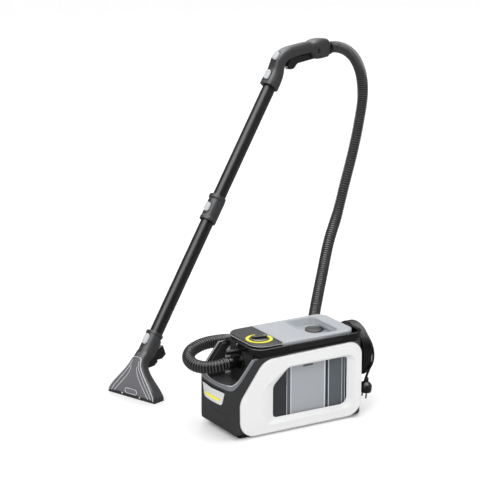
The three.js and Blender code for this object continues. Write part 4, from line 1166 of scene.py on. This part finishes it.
port = moved(turned([
    (16, 0, 0.6), (23, 0, 0.4), (23, 3.6, 1.2), (20.6, 5.2, 0.8), (20.6, 6, 0.4), (16, 6, 0.4)], 80),
    ALONG_X, at(HEAD_FRONT - GAP, 0, PORT_Z))
piece("hose_port_ring", port, GLOSS, "hose_port", sharp=50)
cuff = moved(turned([
    (12, 0, 0.5), (15.4, 0, 0.5), (15.4, 26, 2), (19, 29, 1.5), (19, 31.2, 0.5), (18, 32.4, 0.5),
    (18, 33.6, 0.5), (19, 34.8, 0.5), (19, 40, 1.2), (12, 40, 0.5)], 80),
    ALONG_X, at(CUFF_END + 40, 0, PORT_Z))
piece("hose_cuff_sleeve", cuff, GLOSS, "hose_cuff", sharp=50)
relief = together(
    moved(turned([(3, 0, 0.3), (8, 0, 0.3), (8, 6, 1.5), (6.4, 8, 0.4), (3, 8, 0.3)], 48),
          ALONG_X, at(HEAD_FRONT - GAP, 0, SPRAY_Z)),
    ribbed([(HEAD_FRONT - 7, 0, SPRAY_Z), (-187, 0, SPRAY_Z)], 7, 1.8, 4.4, SATIN_BLACK, 8, 28))
piece("spray_fitting_ribbed", relief, SATIN_BLACK, "spray_fitting", sharp=60)

# ---- rear: hook, gland, plug and strap ----

reach = COIL_IN - 2 * GAP
saddle = [
    (COIL_Y + reach * math.cos(math.radians(d)), COIL_Z + reach * math.sin(math.radians(d)))
    for d in range(56, 126, 4)]
hook_low, hook_left, hook_right = COIL_Z + 30, COIL_Y - 29, COIL_Y + 29
hook = join(
    slab([(hook_left, hook_low, 6), (hook_right, hook_low, 6), *saddle], "x", REAR + GAP, COIL_X1 + 3,
         steps=6),
    slab(rectangle(hook_left, hook_low, hook_right, COIL_Z + COIL_IN + 8, 8),
         "x", COIL_X1 + 2, COIL_X1 + 6, 1.2, 8))
piece("cable_hook_arm", hook, ANTHRACITE, "cable_hook", bevel=0.7)
gland = together(*[
    moved(turned([(0, 0), (9, 0, 0.6), (9, 4, 1), (7.6, 5.4, 0.4), (5.5, 30, 1), (0, 30)], 48),
          turn("Y", QUARTER), at(REAR - 1, 45, 60))], *[
    moved(pipe(4, 7.9 - 0.5 * k, 0, 1.4, 40, 0.4), turn("Y", QUARTER), at(REAR + 7 + 4.4 * k, 45, 60))
    for k in range(5)])
gland_piece = piece("cable_gland_relief", gland, RUBBER, "cable_gland", sharp=50)
PLUG_PLACE = (turn("Y", math.radians(4)), turn("X", math.radians(6)), at(236, -66, 92))
plug = cut(turned([
    (0, -34), (17.5, -34, 0.8), (18.5, -31, 1), (18.5, -16, 2), (15, -10, 3), (7, -4, 3), (5.5, 8, 0.8),
    (0, 8)], 72), bar_wheel(20, 19.4, (1.8, 1.6, 12), SATIN_BLACK))
plug_rings = [
    pipe(4, radius, low, high, 32, 0.4)
    for radius, low, high in ((6.8, -3, -1.4), (6.4, 0.2, 1.8), (6.1, 3.4, 5))]
plug_body = piece("mains_plug_body", moved(together(plug, *plug_rings), *PLUG_PLACE), SATIN_BLACK,
                  "mains_plug", sharp=45)
pins = together(
    *[moved(turned([(0, -53), (1.6, -53, 0.5), (2.4, -51, 0.6), (2.4, -35), (0, -35)], 28), at(0, y))
      for y in (-9.5, 9.5)],
    block(-3, 3, -12.5, 12.5, -35.5, -34.3, 0.3))
pin_piece = piece("mains_plug_pins", moved(pins, *PLUG_PLACE), METAL, "plug_pins", sharp=45)


def strap(degrees):
    """A hook-and-loop band round the winding's section."""
    outer = rounded(rectangle(COIL_IN - 1.2, COIL_X0 - 1.0, COIL_OUT + 1.6, COIL_X1 + 1.0, 5), 8)
    inner = inset(outer, 1.2)
    rings = [lift(outer, "y", -6), lift(outer, "y", 6), lift(inner, "y", 6), lift(inner, "y", -6)]
    band = loft(rings, endless=True)
    # drawn with the radius along X and the winding's axis along Z
    return moved(band, Matrix(((0, 0, 1, 0), (1, 0, 0, 0), (0, 1, 0, 0), (0, 0, 0, 1))),
                 turn("X", math.radians(degrees)), at(0, COIL_Y, COIL_Z))


cable_strap = piece("cable_strap", strap(238), RUBBER, (), sharp=40)

# ---- wand ----

IN_WAND = (turn("Z", WAND_TURN), at(*WAND_AT, 0))
ON_STICK = (turn("Y", STICK_TILT), at(STICK_FOOT[0], 0, STICK_FOOT[1]))
IN_STICK = (*ON_STICK, *IN_WAND)


def ring_at(place, tilt, depth, width, radius):
    """A rounded section of the wand's skin about a place (x, z), leaning by tilt."""
    line = rounded(rectangle(-depth, -width, depth, width, min(radius, depth - 0.5, width - 0.5)), 7, 4)
    spin = np.array([[math.cos(tilt), 0, math.sin(tilt)], [0, 1, 0], [-math.sin(tilt), 0, math.cos(tilt)]])
    flat = np.column_stack([line, np.zeros(len(line))])
    return flat @ spin.T + [place[0], 0, place[1]]


def smooth_rings(rings, per_span=5):
    """More rings between the given ones, on smooth lines through their points."""
    count = len(rings[0])
    flat = smooth_route([ring.reshape(-1) for ring in rings], per_span)
    return [row.reshape(count, 3) for row in flat]


def nozzle_skin(depth):
    """The nozzle's outer skin, or the one a depth inside it."""
    rings = [ring_at(place, tilt, half_depth - depth, half_width - depth, radius)
             for place, tilt, half_depth, half_width, radius in (
                 ((0, -depth * 2), 0, 22, 92, 5), ((0, 12), 0, 22, 91, 6), ((2, 34), 0.1, 21, 76, 8),
                 ((6, 58), 0.2, 20, 52, 10), ((12, 84), 0.35, 20, 31, 12), ((22, 101), 0.5, 20.5, 23, 14),
                 ((44, 118), STICK_TILT, 22, 23, 15))]
    return loft([rings[0], *smooth_rings(rings[1:], 5)])


def window_zone(slack=0.0):
    """The part of the nozzle's front that its clear fan takes up."""
    line = [(-84, 5), (-84, 13, 8), (-68, 37, 20), (-46, 63, 30), (-23, 93, 14), (-16, 114, 8)]
    corners = [(y - slack, z - slack if z < 9 else z + slack, *r) for y, z, *r in line]
    corners += [(-y, z, *r) for y, z, *r in reversed(corners)]
    return moved(slab(corners, "x", -70, -2, steps=8), turn("Y", 0.2))


def window_shell():
    return common(cut(nozzle_skin(0.5), nozzle_skin(3.2)), window_zone(-0.3))


def button_pocket(z0, z1):
    return block(-40, -TUBE_R - GAP - 0.5, -8.4, 8.4, z0, z1)


def pill(slack=0.0):
    """The nozzle's rounded release button, standing proud of the socket's front."""
    return slab(rectangle(-8.6 - slack, -46 - slack, 8.6 + slack, -14 + slack, 8), "x", -32.5 - 4 * slack,
                -TUBE_R - (1 if slack else 4.6), 0 if slack else 3.2, 14, 6)


def nozzle_body():
    boss = block(16, 29.7, -12, 12, 32, 56, 1)
    socket = moved(turned([
        (0, -72), (24.5, -72), (24.5, -9, 1), (26.2, -7.5, 0.8), (26.2, -0.8, 0.8), (25.6, 0, 0.3),
        (0, 0)], 64), *ON_STICK)
    clip = moved(slab(rectangle(14, -11, 33, 11, 4), "z", -62, -12, 2, 6), *ON_STICK)
    return cut(
        join(nozzle_skin(0), socket, boss, clip), nozzle_skin(NOZZLE_SKIN),
        moved(rod(TUBE_R + GAP, -44, 5, 64), *ON_STICK), moved(rod(TUBE_BORE, -80, 5, 48), *ON_STICK),
        window_zone(), moved(pill(0.5), *ON_STICK),
        moved(rod(DUCT_R + GAP, -30, 5, 32), at(DUCT_X), *ON_STICK),
        bar_row((-24, -84, 0), (0, 6, 0), 29, (8, 2.4, 3.4), ANTHRACITE))


piece("nozzle_body_moulding", moved(nozzle_body(), *IN_WAND), ANTHRACITE, "nozzle_body", bevel=0.6)
piece("nozzle_window_clear", moved(window_shell(), *IN_WAND), SMOKE_WINDOW, "nozzle_window", sharp=30)


def front_at(y, z):
    """A point on the nozzle's front skin."""
    heights = (0, 12, 36.1, 62, 90.9, 110.8, 131.8)
    return (np.interp(z, heights, (-22, -22, -18.9, -13.6, -6.8, 4, 26.9)) - 0.1, y, z)


def window_ribs():
    ribs = []
    for side in (-1, 1):
        for route, radius in (
                (((12, 108), (16, 92), (34, 66), (54, 40), (70, 20), (76, 8)), 0.8),
                (((11, 92), (14, 76), (30, 52), (50, 28), (66, 9)), 0.8),
                (((17, 113), (23.5, 94), (46.5, 64), (68.5, 38), (84.5, 16), (85, 6)), 1.1)):
            line = smooth_route([front_at(side * y, z) for y, z in route], 6)
            ribs.append(ribbed(line, radius, 0.0, 3, WINDOW_LINE, 1, 8))
    ribs.append(ribbed(smooth_route([front_at(y, z) for y, z in (
        (-17, 113), (-12, 115), (0, 116), (12, 115), (17, 113))], 6), 1.0, 0.0, 3, WINDOW_LINE, 1, 8))
    return together(*ribs)


piece("nozzle_window_ribs", moved(window_ribs(), *IN_WAND), WINDOW_LINE, sharp=70, clean=0)


def capsule(half, radius, x0, x1, z):
    return slab(rectangle(-half, z - radius, half, z + radius, radius - 0.1), "x", x0, x1, 0.2, 12)


frame_line = cut(capsule(23, 8.2, -22.9, -20.5, 19), capsule(21.6, 6.8, -25, -20, 19))
piece("nozzle_blank_oval", moved(frame_line, *IN_WAND), WINDOW_LINE, sharp=50)
piece("nozzle_blank_plate", moved(capsule(17, 4.0, -22.6, -20.5, 19), *IN_WAND), SILVER, sharp=50)
dots = together(*[
    moved(turned([(0, 0), (2.4, 0, 0.3), (2.4, 1.4, 0.4), (0, 1.5)], 32), ALONG_X, at(-21.6, y, 7))
    for y in (-34, 34)])
piece("nozzle_window_studs", moved(dots, *IN_WAND), WINDOW_LINE, sharp=50)
clips = together(
    slab([(56, 108), (113, 127, 2), (126, 96, 2), (109, 86, 2), (44, 92)], "y", -7, 7, 1.0, 5),
    slab([(26, 88), (88, 98, 3), (92, 80, 3), (78, 72, 2), (24, 72)], "y", -5, 5, 1.0, 5))
piece("nozzle_hose_clips", moved(clips, *IN_WAND), SATIN_BLACK)
teeth = bar_row((-20.5, -81, 5.0), (0, 5.4, 0), 31, (1.8, 2.6, 7), ANTHRACITE)
piece("nozzle_front_teeth", moved(teeth, *IN_WAND), ANTHRACITE, clean=0)


def release_button(z0, z1):
    cap = slab(rectangle(-7.9, z0, 7.9, z1, 6.5), "x", -31.5, -TUBE_R - GAP - 4, 2.6, 12, 5)
    middle = (z0 + z1) / 2
    return cut(cap, bar_row((-32, 0, middle - 6), (0, 0, 3), 5, (1.6, 10, 1.1), BUTTON))


piece("nozzle_button_cap", moved(pill(), *IN_STICK), BUTTON, "nozzle_button", "nozzle_release", bevel=0.3)
piece("coupling_button_cap", moved(release_button(396, 424), *IN_STICK), BUTTON, "coupling_button",
      "coupling_release", bevel=0.3)
piece("handle_button_cap", moved(release_button(848, 878), at(-4.5), *IN_STICK), BUTTON, "handle_button",
      "handle_release", bevel=0.3)
jet = join(block(30, 38, -9, 9, 34, 50, 1.2), moved(rod(3.5, 26, 35, 32, 0.6), at(34)))
piece("spray_jet_head", moved(jet, *IN_WAND), SATIN_BLACK, "spray_jet")


def tube_wall(z0, z1):
    return pipe(TUBE_BORE, TUBE_R, z0, z1, 64, 0.5)


piece("lower_tube_wall", moved(tube_wall(-43, TUBE_JOIN), *IN_STICK), SATIN_BLACK, "lower_tube", sharp=50)
piece("upper_tube_wall", moved(tube_wall(TUBE_JOIN + GAP, HANDLE_START + 40), *IN_STICK), SATIN_BLACK,
      "upper_tube", sharp=50)


def tube_coupling():
    z0, z1 = COUPLING
    sleeve = turned([
        (TUBE_R + GAP, z0, 0.4), (24.5, z0, 1), (24.5, z0 + 8, 1), (23, z0 + 11, 1), (23, z1 - 14, 1),
        (26, z1 - 10, 1), (26, z1, 1), (TUBE_R + GAP, z1, 0.4)], 72)
    back = slab(rectangle(15, -10, 33, 10, 5), "z", z0 + 2, z1 - 2, 1.5, 6)
    return cut(
        join(sleeve, back), rod(TUBE_R + GAP, z0 - 5, z1 + 5, 64), button_pocket(395.6, 424.4),
        moved(rod(DUCT_R + GAP, z0 - 5, z1 + 5, 32), at(DUCT_X)),
        bar_row((0, 0, z0 + 16), (0, 0, 4.5), 3, (60, 12, 1.2), ANTHRACITE, (0, 0, QUARTER)))


piece("tube_coupling_sleeve", moved(tube_coupling(), *IN_STICK), ANTHRACITE, "tube_coupling", bevel=0.4)
for duct_name, z0, z1 in (
        ("spray_duct_lower", -28, DUCT_JOIN), ("spray_duct_upper", DUCT_JOIN + GAP, HANDLE_START + 12)):
    duct = ribbed([(DUCT_X, 0, z0), (DUCT_X, 0, z1)], DUCT_R, 0.9, 5.2, SATIN_BLACK, 6, 20)
    piece(f"{duct_name}_ribbed", moved(duct, *IN_STICK), SATIN_BLACK, duct_name, sharp=60)


def stick_point(along):
    return (STICK_FOOT[0] + along * math.sin(STICK_TILT), STICK_FOOT[1] + along * math.cos(STICK_TILT))


def across_at(radius, half, place):
    """A pin across the handle at (x, z)."""
    pin = rod(radius, -half, half, 32, min(0.5, radius / 4))
    return moved(pin, turn("X", QUARTER), at(place[0], 0, place[1]))


TRIGGER_PIVOT = (838, 880)


def slider(slack=0.0, above=0.0):
    far, half = 14 + slack * 8, 8.4 + slack
    cap = slab(rectangle(-far, -half, far, half, 7), "z", 17 - slack * 5, 26.5 + above, 0 if slack else 2.2,
               10, 5)
    if not slack:
        cap = cut(cap, bar_row((-7.5, 0, 26.8), (3, 0, 0), 6, (1.2, 10, 1.6), BUTTON))
    return moved(cap, turn("Y", -0.72), at(662, 0, 893))


def handle_shell():
    rings = [ring_at(*section) for section in (
        (stick_point(HANDLE_START), STICK_TILT, 27, 25, 18),
        (stick_point(HANDLE_START + 14), STICK_TILT, 27, 25, 18),
        (stick_point(HANDLE_START + 50), STICK_TILT, 25, 22, 16), ((662, 893), 0.95, 23, 20, 15),
        ((692, 907), 1.35, 20, 18, 14), ((740, 911.5), QUARTER, 18.5, 17.5, 14),
        ((790, 912), QUARTER, 18.5, 17.5, 14), ((808, 911), QUARTER, 18.5, 17.8, 14),
        ((822, 904), QUARTER, 28, 22.5, 14), ((850, 902), QUARTER + 0.05, 30.5, 24, 14),
        ((884, 900), QUARTER, 29, 24, 16))]
    shell_skin = loft(smooth_rings(rings, 5))
    channel = smooth_route([(x, 0, z) for x, z in (
        stick_point(HANDLE_START + 30), stick_point(HANDLE_START + 56), (668, 895), (700, 908), (745, 913),
        (800, 912), (850, 904), (890, 899))], 6)
    bore = moved(rod(TUBE_R + GAP, HANDLE_START - 5, HANDLE_START + 41, 64), *ON_STICK)
    duct_bore = moved(rod(DUCT_R + GAP, HANDLE_START - 5, HANDLE_START + 13, 32), at(DUCT_X), *ON_STICK)
    slot = slab([(690, 845), (849, 845), (849, 891), (790, 903), (690, 907)], "y", -7, 7)
    side_pockets = cut(across_at(8.5, 40, (829, 899)), slab(rectangle(818, 886, 838, 912), "y", -19, 19))
    return cut(
        shell_skin, bore, duct_bore, ribbed(channel, 12.5, 0, 6, ANTHRACITE, 1, 24),
        moved(button_pocket(847.6, 878.4), *ON_STICK), slider(GAP + 0.2, 30), slot,
        side_pockets, across_at(2.6, 40, TRIGGER_PIVOT))


piece("handle_shell_moulding", moved(handle_shell(), *IN_WAND), ANTHRACITE, "handle_shell", bevel=0.6)
piece("spray_lock_slider", moved(slider(), *IN_WAND), BUTTON, "spray_lock_button", "spray_lock", bevel=0.2)
trigger = cut(slab([
    (697, 867, 3), (703, 859, 5), (726, 857, 6), (745, 871, 10), (838, 874, 6), (847, 881, 4), (838, 889, 5),
    (790, 892, 10), (722, 891, 8), (703, 884, 5)], "y", -6.5, 6.5, 1.2, 8), across_at(2.6, 20, TRIGGER_PIVOT))
piece("spray_trigger_lever", moved(trigger, *IN_WAND), SATIN_BLACK, "spray_trigger", "trigger", bevel=0.3)
piece("trigger_edge_strip", moved(slab([
    (695.6, 867, 1), (714.5, 855.8, 8), (738, 861, 6), (738, 862.4), (714.8, 857.6, 7), (697.6, 868.5)],
    "y", -5, 5, 0.4, 6), *IN_WAND), BUTTON, (), "trigger")
piece("trigger_pin_steel", moved(across_at(2.3, 18, TRIGGER_PIVOT), *IN_WAND), METAL, "trigger_pin")
collar = moved(turned([
    (12.8, 0, 0.4), (24, 0, 0.8), (24, 5, 1), (21, 8, 1), (21, 11, 0.5), (20, 12, 0.4), (20, 13, 0.4),
    (21, 14, 0.5), (21, 23, 1.2), (12.8, 23, 0.4)], 80), turn("Y", QUARTER - 0.01), at(885.2, 0, 895.2))
piece("hose_collar_sleeve", moved(collar, *IN_WAND), GLOSS, "hose_collar", sharp=50)

# ---- floor and light ----

FLOOR_HALF, FLOOR_WHITE, FLOOR_GLOW, FLOOR_IN_GLOSS = 15, 0.93, 0.14, 0.22
WORLD_LIGHT, GLOSS_LOW, GLOSS_HIGH, LAMP_FROM, LAMP_TO = 0.82, 0.08, 7.0, 0.7, 0.82


def grey(value):
    return (value, value, value, 1)


def seen_or_mirrored(tree, seen, mirrored, surface):
    """One shader for what the camera sees and a dimmer one for what the part's gloss mirrors."""
    rays = node(tree, "ShaderNodeLightPath")
    chosen = node(tree, "ShaderNodeMixShader", {0: rays.outputs["Is Glossy Ray"], 1: seen, 2: mirrored})
    tree.links.new(chosen.outputs[0], surface)


def set_floor():
    mesh = bpy.data.meshes.new("floor")
    h = FLOOR_HALF
    mesh.from_pydata([(-h, -h, 0), (h, -h, 0), (h, h, 0), (-h, h, 0)], [], [(0, 1, 2, 3)])
    floor = stand_in(mesh)
    floor.name = "floor"
    pale = bpy.data.materials.new("pale floor")
    pale.use_nodes = True
    tree = pale.node_tree
    shader = tree.nodes["Principled BSDF"]
    for label, value in (("Base Color", grey(FLOOR_WHITE)), ("Roughness", 0.65), ("Specular IOR Level", 0.15),
                         ("Emission Color", grey(1)), ("Emission Strength", FLOOR_GLOW)):
        shader.inputs[label].default_value = value
    carded = node(tree, "ShaderNodeBsdfDiffuse", {"Color": grey(FLOOR_IN_GLOSS)})
    seen_or_mirrored(tree, shader.outputs[0], carded.outputs[0],
                     tree.nodes["Material Output"].inputs["Surface"])
    mesh.materials.append(pale)


def set_world():
    world = bpy.data.worlds.new("studio")
    bpy.context.scene.world = world
    world.use_nodes = True
    tree = world.node_tree
    open_white = tree.nodes["Background"]
    open_white.inputs["Color"].default_value = grey(1)
    open_white.inputs["Strength"].default_value = WORLD_LIGHT
    way = node(tree, "ShaderNodeTexCoord")
    height = node(tree, "ShaderNodeSeparateXYZ", {"Vector": way.outputs["Generated"]})
    overhead = node(tree, "ShaderNodeMapRange", {
        "Value": height.outputs["Z"], "From Min": LAMP_FROM, "From Max": LAMP_TO, "To Min": GLOSS_LOW,
        "To Max": GLOSS_HIGH}, interpolation_type="SMOOTHSTEP")
    dim = node(tree, "ShaderNodeBackground", {"Color": grey(1), "Strength": overhead.outputs[0]})
    seen_or_mirrored(tree, open_white.outputs[0], dim.outputs[0],
                     tree.nodes["World Output"].inputs["Surface"])


def set_lamp(name, place, aim, size, watts):
    lamp = bpy.data.objects.new(name, bpy.data.lights.new(name, "AREA"))
    bpy.context.scene.collection.objects.link(lamp)
    lamp.data.size, lamp.data.energy = size, watts
    lamp.location = place
    lamp.rotation_euler = (Vector(aim) - Vector(place)).to_track_quat("-Z", "Y").to_euler()


set_floor()
set_world()
set_lamp("key", (-3.4, -3.2, 4.2), (0, 0, 0.3), 2.6, 95)
set_lamp("fill", (3.6, -2.4, 2.4), (0, -0.2, 0.3), 2.0, 30)
set_lamp("back", (1.5, 3.6, 3.4), (0, 0, 0.5), 2.4, 50)
bpy.context.scene.view_settings.view_transform = "Standard"
